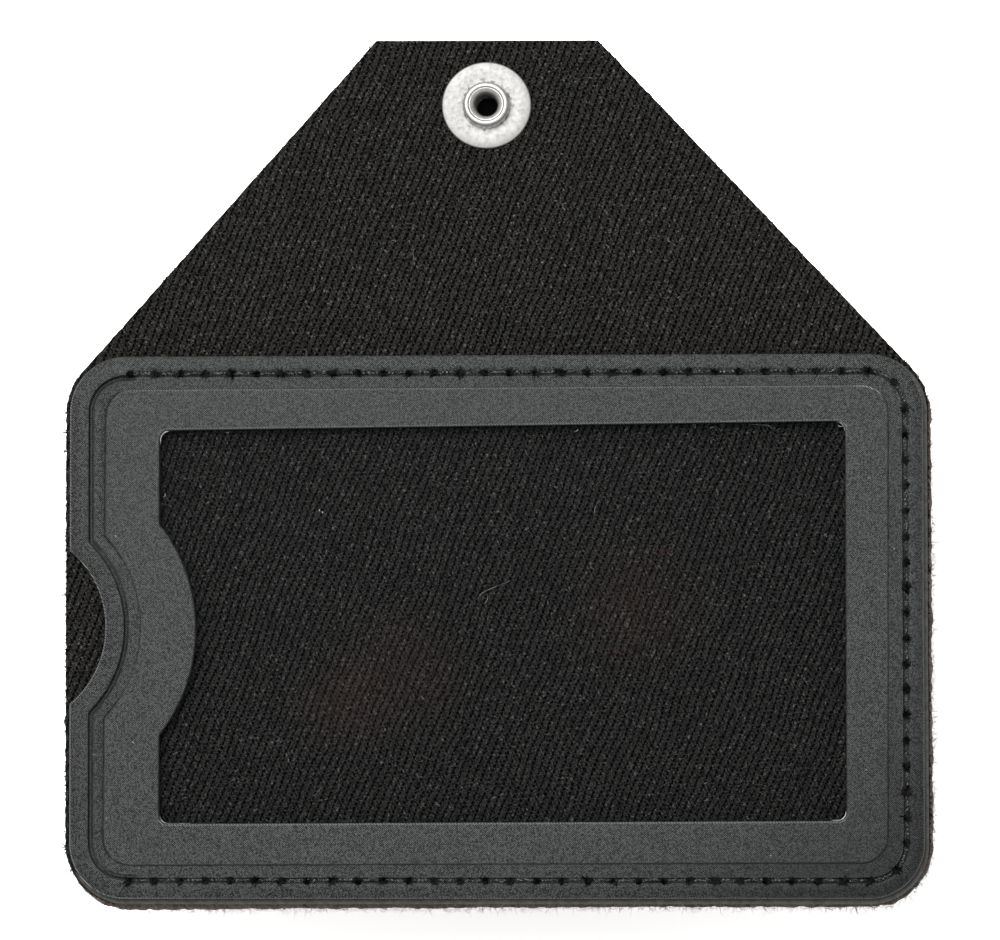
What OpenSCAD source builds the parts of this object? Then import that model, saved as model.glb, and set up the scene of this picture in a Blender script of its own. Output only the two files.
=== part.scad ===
// Badge wallet: a card pocket of twill behind a moulded window frame, with a snap flap.
// Lengths are in millimetres. The wallet lies on its lining, with X along the card's long
// side, Y towards the flap and Z out of the window. The origin is under the frame's centre.

/* [Card] */
// Long side of the card that the pocket holds
card_w = 85.6; // [82:0.1:90]
// Short side of the card
card_h = 54; // [50:0.1:58]
// Thickness of the card
card_t = 0.76; // [0.5:0.02:1.2]
// Corner radius of the card
card_r = 3.18; // [2.6:0.02:4]
// Play beside the card, on each side
card_side_play = 0.3; // [0.1:0.05:0.8]
// Play beyond the card's closed end
card_end_play = 0.3; // [0.1:0.05:0.8]
// Play over the card
card_lift_play = 0.24; // [0.1:0.02:0.5]

/* [Frame] */
// Seam beside the pocket, out to the frame's edge
seam_w = 2.9; // [2.8:0.1:4]
// Seam beyond the card's closed end
stop_w = 3.8; // [3.4:0.1:6]
// Frame before the card's open end, at the pocket's mouth
mouth_l = 5.3; // [4.8:0.1:7]
// Corner radius of the frame
frame_r = 6.2; // [5:0.1:8]
// Thickness of the rim and the sewing band
rim_t = 1.2; // [1:0.05:2]
// Width from the frame's edge to the raised border
band_w = 3.75; // [3:0.05:4.5]
// Height of the raised border above the rim
border_rise = 0.3; // [0.15:0.05:0.8]
// Corner radius of the raised border
border_r = 3; // [1.5:0.1:4]

/* [Window] */
// How far the border laps over each end of the card
window_lap_x = 4.65; // [4:0.05:7]
// How far the border laps over each side of the card
window_lap_y = 4.85; // [4:0.05:7]
// How far the window sits above the card's middle
window_rise = 0.3; // [0:0.05:1]
// Corner radius of the window
window_r = 0.9; // [0.4:0.1:3]
// Thickness of the clear film
film_t = 0.3; // [0.2:0.05:0.5]
// How far the film laps under the border
film_lap = 3.2; // [2:0.1:3.6]

/* [Thumb notch] */
// Radius of the notch in the frame's edge
notch_r = 11.1; // [9:0.1:14]
// Depth of the notch
notch_depth = 4; // [3:0.1:5]
// Radius of the border's bulge beside the notch
bulge_r = 19.3; // [16:0.1:24]
// Depth of that bulge into the window
bulge_depth = 4.1; // [2:0.1:6]

/* [Stitching] */
// From the frame's edge to the middle of the sewing groove
groove_inset = 2; // [1.8:0.05:2.2]
// Width of the groove
groove_w = 0.6; // [0.55:0.05:0.9]
// Depth of the groove
groove_depth = 0.5; // [0.4:0.05:0.7]
// Length of one stitch
stitch_pitch = 2.86; // [2.2:0.02:4]
// Diameter of the thread
thread_d = 0.44; // [0.3:0.02:0.46]
// Play around each of the two threads in a needle hole
thread_play = 0.03; // [0.02:0.01:0.06]
// Seam that runs on past the straight at the mouth, or ends short of it if negative
seam_lead = -0.5; // [-1.5:0.1:1.5]

/* [Cloth] */
// Thickness of the twill
twill_t = 0.9; // [0.6:0.05:1.2]
// How far the twill stands out past the frame
twill_margin = 0.7; // [0.6:0.05:1.5]
// Thickness of the lining
lining_t = 0.7; // [0.6:0.05:1.2]
// How far the lining stands out past the frame
lining_margin = 0.75; // [0.5:0.05:1.5]
// How far the lining was sewn on towards the closed end
lining_slip_x = 0.2; // [0:0.05:0.4]
// How far the lining was sewn on below its true place
lining_slip_y = 0.3; // [0:0.05:0.4]
// How far the spacer stands out past the frame
spacer_margin = 0.3; // [0.1:0.05:0.6]
// How far the spacer was sewn on towards the closed end
spacer_slip_x = 0.15; // [0:0.05:0.4]

/* [Flap] */
// From the frame's edge to the flap's tip
flap_l = 35.2; // [28:0.1:45]
// Width of the tip
tip_w = 24.6; // [18:0.1:40]
// Place of the tip's middle, to the right of the frame's middle
tip_shift = -1; // [-3:0.1:3]
// Room between a folded flap and what it passes
fold_room = 0.3; // [0.2:0.05:1]
// Play around the round ends of the fold strip
crease_play = 0.1; // [0.05:0.01:0.2]

/* [Snap] */
// From the tip's edge to the middle of the snap
snap_inset = 7.1; // [6:0.1:12]
// Diameter of the stud's flange
stud_flange_d = 10; // [8:0.1:12]
// Diameter of the stud's bead, which the socket grips
stud_d = 5.1; // [4.7:0.05:5.6]
// How much narrower the stud's neck is than its bead
neck_cut = 0.4; // [0.2:0.05:0.6]
// Diameter of the stud's mouth
stud_mouth_d = 3.9; // [3.6:0.05:4.1]
// Height of the stud over the cloth
stud_h = 2; // [1.8:0.05:2.4]
// Thickness of the snap's sheet metal
snap_sheet = 0.35; // [0.25:0.05:0.45]
// Diameter of the eyelet's flange
eyelet_flange_d = 9.5; // [8:0.1:12]
// Outer diameter of the eyelet's barrel
barrel_d = 2.9; // [2.7:0.05:3.1]
// Bore of the eyelet
eyelet_bore_d = 2.3; // [2.1:0.05:2.4]
// Play around the barrel
barrel_play = 0.05; // [0.02:0.01:0.1]

/* [Hidden] */
$fn = 64;
overrun = 1;

// The pocket and the frame around the card
spacer_t = card_t + card_lift_play;
frame_w = mouth_l + card_w + card_end_play + stop_w;
frame_h = card_h + 2 * (card_side_play + seam_w);
card_x = mouth_l + (card_w - frame_w) / 2;
slot_h = card_h + 2 * card_side_play;
slot_end = frame_w / 2 - stop_w;
window_w = card_w - 2 * window_lap_x;
window_h = card_h - 2 * window_lap_y;
corner_x = frame_w / 2 - frame_r;
corner_y = frame_h / 2 - frame_r;
notch_x = notch_depth - notch_r - frame_w / 2;
bulge_x = card_x - window_w / 2 + bulge_depth - bulge_r;

// Heights of the layers, from the lining up
twill_z = lining_t;
spacer_z = twill_z + twill_t;
frame_z = spacer_z + spacer_t;
rim_z = frame_z + rim_t;
groove_z = rim_z - groove_depth;

// The seam, from the mouth along the top, round the closed end and back
seam_x = frame_w / 2 - groove_inset;
seam_y = frame_h / 2 - groove_inset;
seam_r = frame_r - groove_inset;
seam_run = 2 * corner_x + seam_lead;
seam_bend = seam_r * PI / 2;
seam_side = 2 * corner_y;
run_stitches = max(1, round(seam_run / stitch_pitch));
bend_stitches = max(1, round(seam_bend / stitch_pitch));
side_stitches = max(1, round(seam_side / stitch_pitch));
lock_z = twill_z + twill_t / 2;
leg_inset = thread_d / 2 + thread_play;
needle_hole_d = 2 * (thread_d + 2 * thread_play);
channel_depth = thread_d + thread_play;

// The flap and its two creases
tip_y = frame_h / 2 + flap_l;
snap_y = tip_y - snap_inset;
stack_rise = max(rim_t + border_rise, film_t + stud_h);
fold_l = twill_t + spacer_t + stack_rise + fold_room;
crease_low = frame_h / 2 + fold_room + twill_t / 2;
crease_high = crease_low + fold_l;
crease_end = twill_t / 2 + crease_play;

// Round metal parts
flange_r = stud_flange_d / 2;
bead_r = stud_d / 2;
neck_r = bead_r - neck_cut / 2;
mouth_r = stud_mouth_d / 2;
barrel_r = barrel_d / 2;
bore_r = eyelet_bore_d / 2;
barrel_hole_r = barrel_r + barrel_play;
crest_r = (bead_r + mouth_r) / 2;

twill_colour = [0.13, 0.125, 0.12];
metal_colour = [0.84, 0.83, 0.81];
thread_colour = [0.08, 0.09, 0.1];

// The needle holes: along the top and round its corner, down the side, and the same below.
upper_holes = concat(
    [for (i = [0:run_stitches]) [seam_run * i / run_stitches - seam_lead - corner_x, seam_y]],
    [for (i = [1:bend_stitches])
        let (turn = 90 * (1 - i / bend_stitches))
        [corner_x + seam_r * cos(turn), corner_y + seam_r * sin(turn)]]
);
hole_points = concat(
    upper_holes,
    [for (i = [1:side_stitches - 1]) [seam_x, corner_y - seam_side * i / side_stitches]],
    [for (p = upper_holes) [p[0], -p[1]]]
);

module rounded_rect(w, h, r) {
    square([w - 2 * r, h], center = true);
    square([w, h - 2 * r], center = true);
    for (x = [-1, 1], y = [-1, 1])
        translate([x * (w / 2 - r), y * (h / 2 - r)])
            circle(r);
}

// The frame's outline drawn in by inset, with the thumb notch taken out.
module frame_shape(inset, r) {
    difference() {
        rounded_rect(frame_w - 2 * inset, frame_h - 2 * inset, r);
        translate([notch_x, 0])
            circle(notch_r + inset);
    }
}

module window_shape() {
    difference() {
        translate([card_x, window_rise])
            rounded_rect(window_w, window_h, window_r);
        translate([bulge_x, 0])
            circle(bulge_r);
    }
}

module film_shape() {
    translate([card_x, window_rise])
        rounded_rect(window_w + 2 * film_lap, window_h + 2 * film_lap, window_r + film_lap);
}

// The groove that runs all round the sewing band.
module groove_shape() {
    difference() {
        frame_shape(groove_inset - groove_w / 2, seam_r + groove_w / 2);
        frame_shape(groove_inset + groove_w / 2, seam_r - groove_w / 2);
    }
}

// The part of a band about the seam that holds stitches.
module seam_band(w) {
    intersection() {
        difference() {
            rounded_rect(2 * seam_x + w, 2 * seam_y + w, seam_r + w / 2);
            rounded_rect(2 * seam_x - w, 2 * seam_y - w, seam_r - w / 2);
        }
        translate([-corner_x - seam_lead, -frame_h / 2])
            square([frame_w, frame_h]);
    }
}

// The space for the card, open at the left.
module slot_shape() {
    slot_l = frame_w + 2 * card_r;
    translate([slot_end - slot_l / 2, 0])
        rounded_rect(slot_l, slot_h, card_r);
}

// The twill as cut: the panel behind the frame and the flap that tapers from its shoulders.
module cloth_shape() {
    cloth_r = frame_r + twill_margin;
    shoulder = cloth_r * cos(45);
    rounded_rect(frame_w + 2 * twill_margin, frame_h + 2 * twill_margin, cloth_r);
    polygon([
        [corner_x + shoulder, corner_y + shoulder],
        [tip_shift + tip_w / 2, tip_y],
        [tip_shift - tip_w / 2, tip_y],
        [-corner_x - shoulder, corner_y + shoulder]
    ]);
}

// The stretch of the twill from one height to another, across its whole width.
module cloth_part(from_y, to_y) {
    intersection() {
        cloth_shape();
        translate([-frame_w, from_y])
            square([2 * frame_w, to_y - from_y]);
    }
}

module needle_holes(from_z, to_z) {
    for (p = hole_points)
        translate([p[0], p[1], from_z - overrun])
            cylinder(h = to_z - from_z + 2 * overrun, d = needle_hole_d);
}

// The leg of a stitch below the origin, and the round end of the run above it.
module stitch_leg(leg_l) {
    translate([0, 0, -leg_l])
        cylinder(h = leg_l + thread_d / 2, d = thread_d - thread_play);
    linear_extrude(thread_d)
        circle(d = thread_d);
}

// A straight stitch along X from a hole at the origin to one at l.
module straight_stitch(l, leg_l) {
    for (x = [leg_inset, l - leg_inset])
        translate([x, 0, 0])
            stitch_leg(leg_l);
    translate([leg_inset, -thread_d / 2, 0])
        cube([l - 2 * leg_inset, thread_d, thread_d]);
}

// A stitch round a bend at the origin, from its top clockwise through the angle.
module bend_stitch(angle, leg_l) {
    set_in = leg_inset / seam_r * 180 / PI;
    reach = 2 * seam_r;
    for (turn = [-set_in, set_in - angle])
        rotate(turn)
            translate([0, seam_r, 0])
                stitch_leg(leg_l);
    linear_extrude(thread_d)
        intersection() {
            difference() {
                circle(seam_r + thread_d / 2);
                circle(seam_r - thread_d / 2);
            }
            polygon([
                [0, 0],
                [reach * sin(set_in), reach * cos(set_in)],
                [reach * sin(angle - set_in), reach * cos(angle - set_in)]
            ]);
        }
}

// A row of straight stitches along X.
module stitch_row(l, count, leg_l) {
    for (i = [0:count - 1])
        translate([l * i / count, 0, 0])
            straight_stitch(l / count, leg_l);
}

// The stitches round the upper corner of the closed end.
module stitch_bend(leg_l) {
    for (i = [0:bend_stitches - 1])
        translate([corner_x, corner_y, 0])
            rotate(-90 * i / bend_stitches)
                bend_stitch(90 / bend_stitches, leg_l);
}

// One thread of the seam, with its runs standing on height zero and its legs below.
module sewn_thread(leg_l) {
    for (side = [0, 1])
        mirror([0, side, 0]) {
            translate([-corner_x - seam_lead, seam_y, 0])
                stitch_row(seam_run, run_stitches, leg_l);
            stitch_bend(leg_l);
        }
    translate([seam_x, corner_y, 0])
        rotate(-90)
            stitch_row(seam_side, side_stitches, leg_l);
}

module window_frame() {
    color([0.25, 0.27, 0.28])
        difference() {
            union() {
                translate([0, 0, frame_z])
                    linear_extrude(rim_t)
                        frame_shape(0, frame_r);
                translate([0, 0, frame_z])
                    linear_extrude(rim_t + border_rise)
                        frame_shape(band_w, border_r);
            }
            translate([0, 0, frame_z - overrun])
                linear_extrude(rim_t + border_rise + 2 * overrun)
                    window_shape();
            translate([0, 0, frame_z - overrun])
                linear_extrude(film_t + overrun)
                    film_shape();
            translate([0, 0, groove_z])
                linear_extrude(groove_depth + overrun)
                    groove_shape();
            needle_holes(frame_z, rim_z);
        }
}

module clear_window() {
    color([0.8, 0.85, 0.9, 0.3])
        translate([0, 0, frame_z])
            linear_extrude(film_t)
                film_shape();
}

module pocket_spacer() {
    color([0.35, 0.34, 0.32])
        difference() {
            translate([spacer_slip_x, -spacer_margin, spacer_z])
                linear_extrude(spacer_t)
                    rounded_rect(
                        frame_w + 2 * spacer_margin,
                        frame_h + 2 * spacer_margin,
                        frame_r + spacer_margin
                    );
            translate([0, 0, spacer_z - overrun])
                linear_extrude(spacer_t + 2 * overrun)
                    slot_shape();
            needle_holes(spacer_z, frame_z);
        }
}

module pocket_back() {
    color(twill_colour)
        difference() {
            translate([0, 0, twill_z])
                linear_extrude(twill_t)
                    cloth_part(-frame_h, crease_low - crease_end);
            needle_holes(twill_z, spacer_z);
        }
}

module rear_lining() {
    color([0.5, 0.42, 0.37])
        difference() {
            linear_extrude(lining_t)
                intersection() {
                    translate([lining_slip_x, -lining_slip_y])
                        rounded_rect(
                            frame_w + 2 * lining_margin,
                            frame_h + 2 * lining_margin,
                            frame_r + lining_margin
                        );
                    translate([-frame_w, -frame_h / 2 - frame_h])
                        square([2 * frame_w, 2 * frame_h]);
                }
            translate([0, 0, -overrun])
                linear_extrude(channel_depth + overrun)
                    seam_band(groove_w);
            needle_holes(0, twill_z);
        }
}

module needle_thread() {
    color(thread_colour)
        translate([0, 0, groove_z])
            sewn_thread(groove_z - lock_z);
}

module bobbin_thread() {
    color(thread_colour)
        translate([0, 0, channel_depth])
            mirror([0, 0, 1])
                sewn_thread(lock_z - channel_depth);
}

// The turn of the cloth between its two creases, with round ends on the crease lines.
module fold_strip() {
    color(twill_colour)
        intersection() {
            translate([0, 0, twill_z])
                linear_extrude(twill_t)
                    cloth_shape();
            translate([-frame_w, 0, lock_z])
                rotate([90, 0, 90])
                    linear_extrude(2 * frame_w) {
                        translate([crease_low, -twill_t / 2])
                            square([fold_l, twill_t]);
                        translate([crease_low, 0])
                            circle(d = twill_t);
                        translate([crease_high, 0])
                            circle(d = twill_t);
                    }
        }
}

module flap_panel() {
    color(twill_colour)
        difference() {
            translate([0, 0, twill_z])
                linear_extrude(twill_t)
                    cloth_part(crease_high + crease_end, tip_y);
            translate([tip_shift, snap_y, twill_z - overrun])
                cylinder(h = twill_t + 2 * overrun, r = barrel_hole_r);
        }
}

// The stud: a flange and a hollow bead, with a floor that the eyelet is rolled over.
module snap_stud() {
    rim_round = snap_sheet / 3;
    bead_low = stud_h * 0.5;
    bead_high = stud_h * 0.87;
    color(metal_colour)
        translate([tip_shift, snap_y, spacer_z])
            rotate_extrude()
                polygon([
                    [barrel_hole_r, 0],
                    [flange_r - rim_round, 0],
                    [flange_r, rim_round],
                    [flange_r, snap_sheet - rim_round],
                    [flange_r - rim_round, snap_sheet],
                    [neck_r + rim_round, snap_sheet],
                    [neck_r, snap_sheet + rim_round],
                    [neck_r, bead_low - neck_cut / 2],
                    [bead_r, bead_low],
                    [bead_r, bead_high],
                    [(bead_r + crest_r) / 2, (bead_high + 2 * stud_h) / 3],
                    [crest_r, stud_h],
                    [(mouth_r + crest_r) / 2, (bead_high + 2 * stud_h) / 3],
                    [mouth_r, bead_high],
                    [mouth_r, snap_sheet],
                    [barrel_hole_r, snap_sheet]
                ]);
}

// The eyelet: a closed dome under the flap, and a barrel rolled out inside the stud.
module snap_eyelet() {
    eyelet_r = eyelet_flange_d / 2;
    roll_r = mouth_r - barrel_play;
    roll_top = stud_h * 0.7;
    dome = twill_z;
    color(metal_colour)
        translate([tip_shift, snap_y, 0])
            rotate_extrude()
                polygon([
                    [0, 0],
                    [eyelet_r * 0.75, 0],
                    [eyelet_r * 0.93, dome - snap_sheet * 1.25],
                    [eyelet_r, dome - snap_sheet / 2],
                    [eyelet_r, dome],
                    [barrel_r, dome],
                    [barrel_r, spacer_z + snap_sheet],
                    [roll_r, spacer_z + snap_sheet],
                    [roll_r, spacer_z + roll_top],
                    [roll_r * 0.92, spacer_z + roll_top],
                    [(roll_r + bore_r) / 2, spacer_z + (roll_top + snap_sheet) / 2],
                    [bore_r, spacer_z + snap_sheet],
                    [bore_r, snap_sheet],
                    [0, snap_sheet]
                ]);
}

window_frame();
clear_window();
pocket_spacer();
pocket_back();
rear_lining();
needle_thread();
bobbin_thread();
fold_strip();
flap_panel();
snap_stud();
snap_eyelet();
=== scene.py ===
"""Looks of a badge wallet: a card pocket of black twill behind a moulded window frame.

Sizes are in millimetres in the classes and turned into metres where a mesh is made.
"""

import logging
import math
import random
from collections.abc import Callable, Iterable, Mapping, Sequence
from dataclasses import dataclass
from enum import Enum

import bmesh
import bpy
from mathutils import Matrix, Vector, noise

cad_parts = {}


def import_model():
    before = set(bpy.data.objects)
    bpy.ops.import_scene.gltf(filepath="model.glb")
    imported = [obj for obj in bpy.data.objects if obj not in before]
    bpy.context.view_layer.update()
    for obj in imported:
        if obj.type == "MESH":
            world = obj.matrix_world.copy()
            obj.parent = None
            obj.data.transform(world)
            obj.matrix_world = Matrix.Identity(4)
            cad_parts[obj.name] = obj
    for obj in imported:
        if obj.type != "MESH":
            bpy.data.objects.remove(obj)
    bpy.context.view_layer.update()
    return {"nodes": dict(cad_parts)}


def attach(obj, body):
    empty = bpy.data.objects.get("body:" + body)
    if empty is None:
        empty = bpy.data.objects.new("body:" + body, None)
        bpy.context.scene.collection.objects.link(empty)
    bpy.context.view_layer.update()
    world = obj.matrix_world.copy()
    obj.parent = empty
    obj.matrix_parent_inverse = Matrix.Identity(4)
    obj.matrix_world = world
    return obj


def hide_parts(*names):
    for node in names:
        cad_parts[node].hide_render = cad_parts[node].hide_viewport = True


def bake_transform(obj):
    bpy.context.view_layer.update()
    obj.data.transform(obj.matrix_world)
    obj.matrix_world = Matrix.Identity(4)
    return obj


MM = 0.001
LOG = logging.getLogger("badge_wallet")
WEAR_AND_HIGHLIGHT = "wear"
Colour = tuple[float, float, float]
Point = tuple[float, float, float]
Span = tuple[float, float]
WHITE: Colour = (1.0, 1.0, 1.0)


class Slot(str, Enum):
    """Names of the record's material slots."""

    FRAME = "moulded_frame"
    FILM = "clear_film"
    EDGE = "edge_sheet"
    TWILL = "twill"
    FELT = "felt_lining"
    THREAD = "thread"
    METAL = "snap_metal"


class Body(str, Enum):
    """Names of the bodies that the creases join."""

    POCKET = "pocket"
    FOLD = "fold"
    FLAP = "flap"


# Shader building


class Socket:
    """A shader output that adds its Math nodes as Python expressions are written on it."""

    def __init__(self, nodes: "Nodes", output: bpy.types.NodeSocket) -> None:
        """Keeps the tree and the output.

        Args:
            nodes: The tree that holds the output.
            output: The output that the expression starts from.
        """
        self.nodes = nodes
        self.output = output

    def __add__(self, other: "Socket | float") -> "Socket":
        """Adds."""
        return self.nodes.math("ADD", self, other)

    def __radd__(self, other: float) -> "Socket":
        """Adds, the number first."""
        return self.nodes.math("ADD", other, self)

    def __sub__(self, other: "Socket | float") -> "Socket":
        """Subtracts."""
        return self.nodes.math("SUBTRACT", self, other)

    def __rsub__(self, other: float) -> "Socket":
        """Subtracts from a number."""
        return self.nodes.math("SUBTRACT", other, self)

    def __mul__(self, other: "Socket | float") -> "Socket":
        """Multiplies."""
        return self.nodes.math("MULTIPLY", self, other)

    def __rmul__(self, other: float) -> "Socket":
        """Multiplies, the number first."""
        return self.nodes.math("MULTIPLY", other, self)

    def __truediv__(self, other: "Socket | float") -> "Socket":
        """Divides."""
        return self.nodes.math("DIVIDE", self, other)

    def sine(self) -> "Socket":
        """The sine of an angle in radians."""
        return self.nodes.math("SINE", self)

    def floor(self) -> "Socket":
        """The whole number below."""
        return self.nodes.math("FLOOR", self)

    def fract(self) -> "Socket":
        """What is over the whole number below."""
        return self.nodes.math("FRACT", self)

    def size(self) -> "Socket":
        """The value without its sign."""
        return self.nodes.math("ABSOLUTE", self)

    def band(self, low: float, high: float) -> "Socket":
        """A smooth step from 0 at low to 1 at high."""
        settings = {"interpolation_type": "SMOOTHSTEP"}
        return self.nodes.node("ShaderNodeMapRange", settings, {0: self, 1: low, 2: high})


class Nodes:
    """A tree of shader nodes, to which one method adds every node."""

    def __init__(self, tree: bpy.types.NodeTree) -> None:
        """Keeps the tree."""
        self.tree = tree

    def node(
        self,
        kind: str,
        settings: Mapping[str, object] | None = None,
        values: Mapping[int | str, object] | None = None,
        output: int | str = 0,
    ) -> Socket:
        """Adds a node, sets it and feeds its sockets.

        Args:
            kind: The node's type.
            settings: Attributes to set first. "stops" is a ramp's list of place and colour.
            values: Numbers, colours or sockets for the inputs, by index or name.
            output: The output to return.

        Returns:
            The chosen output.
        """
        made = self.tree.nodes.new(kind)
        for key, value in (settings or {}).items():
            if key == "stops":
                ramp = made.color_ramp
                while len(ramp.elements) < len(value):
                    ramp.elements.new(0.5)
                for element, (place, colour) in zip(ramp.elements, value):
                    element.position = place
                    element.color = (*colour, 1.0)
            else:
                setattr(made, key, value)
        for key, value in (values or {}).items():
            self.feed(made.inputs[key], value)
        return Socket(self, made.outputs[output])

    def feed(self, target: bpy.types.NodeSocket, value: object) -> None:
        """Links a socket to an input, or writes a constant on it.

        Args:
            target: The input.
            value: The socket, or a number or colour.
        """
        if isinstance(value, Socket):
            self.tree.links.new(value.output, target)
        elif target.type == "RGBA":
            target.default_value = (*value[:3], 1.0)
        else:
            target.default_value = value

    def math(self, operation: str, *values: Socket | float) -> Socket:
        """Adds one Math node."""
        return self.node("ShaderNodeMath", {"operation": operation}, dict(enumerate(values)))

    def vector(self, operation: str, *values: object, output: int | str = 0) -> Socket:
        """Adds one Vector Math node.

        Args:
            operation: What it works out.
            *values: Its inputs in order.
            output: The output to return.

        Returns:
            The chosen output.
        """
        settings = {"operation": operation}
        return self.node("ShaderNodeVectorMath", settings, dict(enumerate(values)), output)

    def mix(self, share: Socket | float, first: object, second: object) -> Socket:
        """Mixes two colours.

        Args:
            share: 0 for the first colour and 1 for the second.
            first: The first colour.
            second: The second colour.

        Returns:
            The mixed colour.
        """
        values = {0: share, 6: first, 7: second}
        return self.node("ShaderNodeMix", {"data_type": "RGBA"}, values, 2)

    def place(self, of: str = "Object") -> Socket:
        """The place in millimetres, from Object coordinates."""
        where = self.node("ShaderNodeTexCoord", output=of)
        return self.scaled(where, 1 / MM)

    def scaled(self, where: Socket, scale: float) -> Socket:
        """A vector times a number."""
        return self.node("ShaderNodeVectorMath", {"operation": "SCALE"}, {0: where, 3: scale})

    def stretched(self, where: Socket, scale: Point) -> Socket:
        """A vector times another, axis by axis."""
        return self.vector("MULTIPLY", where, scale)

    def wave(self, where: Socket, per_mm: Point, turn: Socket | float = 0.0) -> Socket:
        """How many waves lie between the origin and a place.

        Args:
            where: The place, in millimetres.
            per_mm: Waves a millimetre along each axis.
            turn: What is added, in waves.

        Returns:
            The count of waves.
        """
        return self.vector("DOT_PRODUCT", where, per_mm, output="Value") + turn

    def grain(
        self, where: Socket, scale: float, detail: float = 2.0, rough: float = 0.5
    ) -> Socket:
        """Noise from 0 to 1 about a mean of one half.

        Args:
            where: The place, in millimetres.
            scale: Features a millimetre.
            detail: Octaves of finer noise.
            rough: How strong those are.

        Returns:
            The noise.
        """
        values = {"Vector": where, "Scale": scale, "Detail": detail, "Roughness": rough}
        return self.node("ShaderNodeTexNoise", None, values)

    def cells(self, where: Socket, scale: float) -> Socket:
        """Irregular cells, each with its own random number from 0 to 1.

        Args:
            where: The place, in millimetres.
            scale: Cells a millimetre.

        Returns:
            The cell's number.
        """
        values = {"Vector": where, "Scale": scale}
        colour = self.node("ShaderNodeTexVoronoi", {"feature": "F1"}, values, "Color")
        return self.node("ShaderNodeSeparateColor", None, {0: colour})

    def chance(self, first: Socket, second: Socket) -> Socket:
        """A random number from 0 to 1 for each pair of whole numbers."""
        pair = self.node("ShaderNodeCombineXYZ", None, {0: first.floor(), 1: second.floor()})
        return self.node("ShaderNodeTexWhiteNoise", {"noise_dimensions": "2D"}, {0: pair})

    def ramp(self, value: Socket, stops: Sequence[tuple[float, Colour]]) -> Socket:
        """A colour ramp."""
        return self.node("ShaderNodeValToRGB", {"stops": list(stops)}, {0: value})

    def bump(self, height: Socket, depth_mm: float, strength: float = 1.0) -> Socket:
        """A Bump node's normal.

        Args:
            height: The height from 0 to 1.
            depth_mm: The depth that it stands for.
            strength: How strong the relief is.

        Returns:
            The normal.
        """
        values = {"Height": height, "Distance": depth_mm * MM, "Strength": strength}
        return self.node("ShaderNodeBump", None, values)


class Shader(Nodes):
    """A material whose Principled BSDF is fed from expressions."""

    def __init__(self, name: str) -> None:
        """Makes the material.

        Args:
            name: The material's name.
        """
        self.material = bpy.data.materials.new(name)
        self.material.use_nodes = True
        super().__init__(self.material.node_tree)
        self.surface = self.tree.nodes["Principled BSDF"]
        self.end = self.tree.nodes["Material Output"]

    def dress(self, **values: object) -> bpy.types.Material:
        """Feeds the surface and returns the material.

        Args:
            **values: Inputs of the Principled BSDF, with _ for the spaces in their names.

        Returns:
            The finished material.
        """
        for name, value in values.items():
            self.feed(self.surface.inputs[name.replace("_", " ")], value)
        return self.material


def grey(value: float, warm: float = 0.0) -> Colour:
    """A grey, a little warmer or cooler by the share warm."""
    return (value * (1 + warm), value, value * (1 - warm))


# Finishes


@dataclass(frozen=True)
class MouldedPlastic:
    """Dark satin plastic with a fine crossed grain, paler on the raised border, with pale edges that
    are partly wear and partly painted highlight, and with painted shade towards the lower right.
    """

    pale: Colour = (0.1580, 0.1640, 0.1670)
    dark: Colour = (0.0020, 0.0022, 0.0025)
    # The edges' pale colour: partly wear, partly painted highlight.
    rubbed_and_lit: Colour = (0.520, 0.525, 0.525)
    grain_per_mm: Span = (3.85, 4.25)
    ticks_per_mm: float = 3.0
    border_z: float = 3.95
    specks_per_mm: float = 11.0
    border_gain: float = 0.09
    # Painted shade towards the lower right: the band and the place where it is counted from.
    shade_lower_right: Span = (0.9, 1.9)
    shade_lower_right_at: Span = (47.0, 30.0)
    weave_gain: float = 0.95
    speck_gain: float = 0.85
    base: float = 0.10
    rough: float = 0.36

    def material(self) -> bpy.types.Material:
        """Builds the material.

        Returns:
            The finished material.
        """
        s = Shader(Slot.FRAME.value)
        at = s.place()
        across, up = self.grain_per_mm
        wander = s.grain(at, 0.15) * 1.5
        first = s.wave(at, (across, up, 0.0), wander) * math.tau
        second = s.wave(at, (across, -up, 0.0), wander) * math.tau
        crossed = (first.sine() + second.sine()) * 0.25 + 0.5
        fine = s.cells(at, self.specks_per_mm)
        x, y, height = (s.node("ShaderNodeSeparateXYZ", None, {0: at}, axis) for axis in range(3))
        raised = height.band(self.border_z - 0.1, self.border_z + 0.1)
        # Painted shade: the grain's contrast is lowered towards the lower right, which darkens it
        # there.
        shade_lower_right = (x / self.shade_lower_right_at[0] - y / self.shade_lower_right_at[1]).band(*self.shade_lower_right)
        contrast = 1.0 - shade_lower_right * 0.5
        weave = (crossed.band(0.25, 0.75) - 0.5) * self.weave_gain
        weave = weave + (fine.band(0.15, 0.85) - 0.5) * self.speck_gain
        share = weave * contrast + raised * self.border_gain + self.base
        colour = s.mix(share.band(0.0, 1.0), self.dark, self.pale)
        # Pale dotted marks along the edges, partly wear and partly painted highlight.
        wear = s.node("ShaderNodeAttribute", {"attribute_name": WEAR_AND_HIGHLIGHT}, output="Fac")
        rate = self.ticks_per_mm
        ticks = (s.wave(at, (rate, rate, 0.0)) * math.tau).sine().band(0.0, 0.9)
        rubbed_and_lit = s.math("MINIMUM", wear * (ticks * 0.85 + fine * 0.1), 1.0)
        relief = crossed * 0.3 + fine * 0.7
        return s.dress(
            Base_Color=s.mix(rubbed_and_lit, colour, self.rubbed_and_lit),
            Roughness=fine * 0.2 + self.rough,
            Normal=s.bump(relief, 0.03, 0.8),
            Specular_IOR_Level=0.22,
        )


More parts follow.
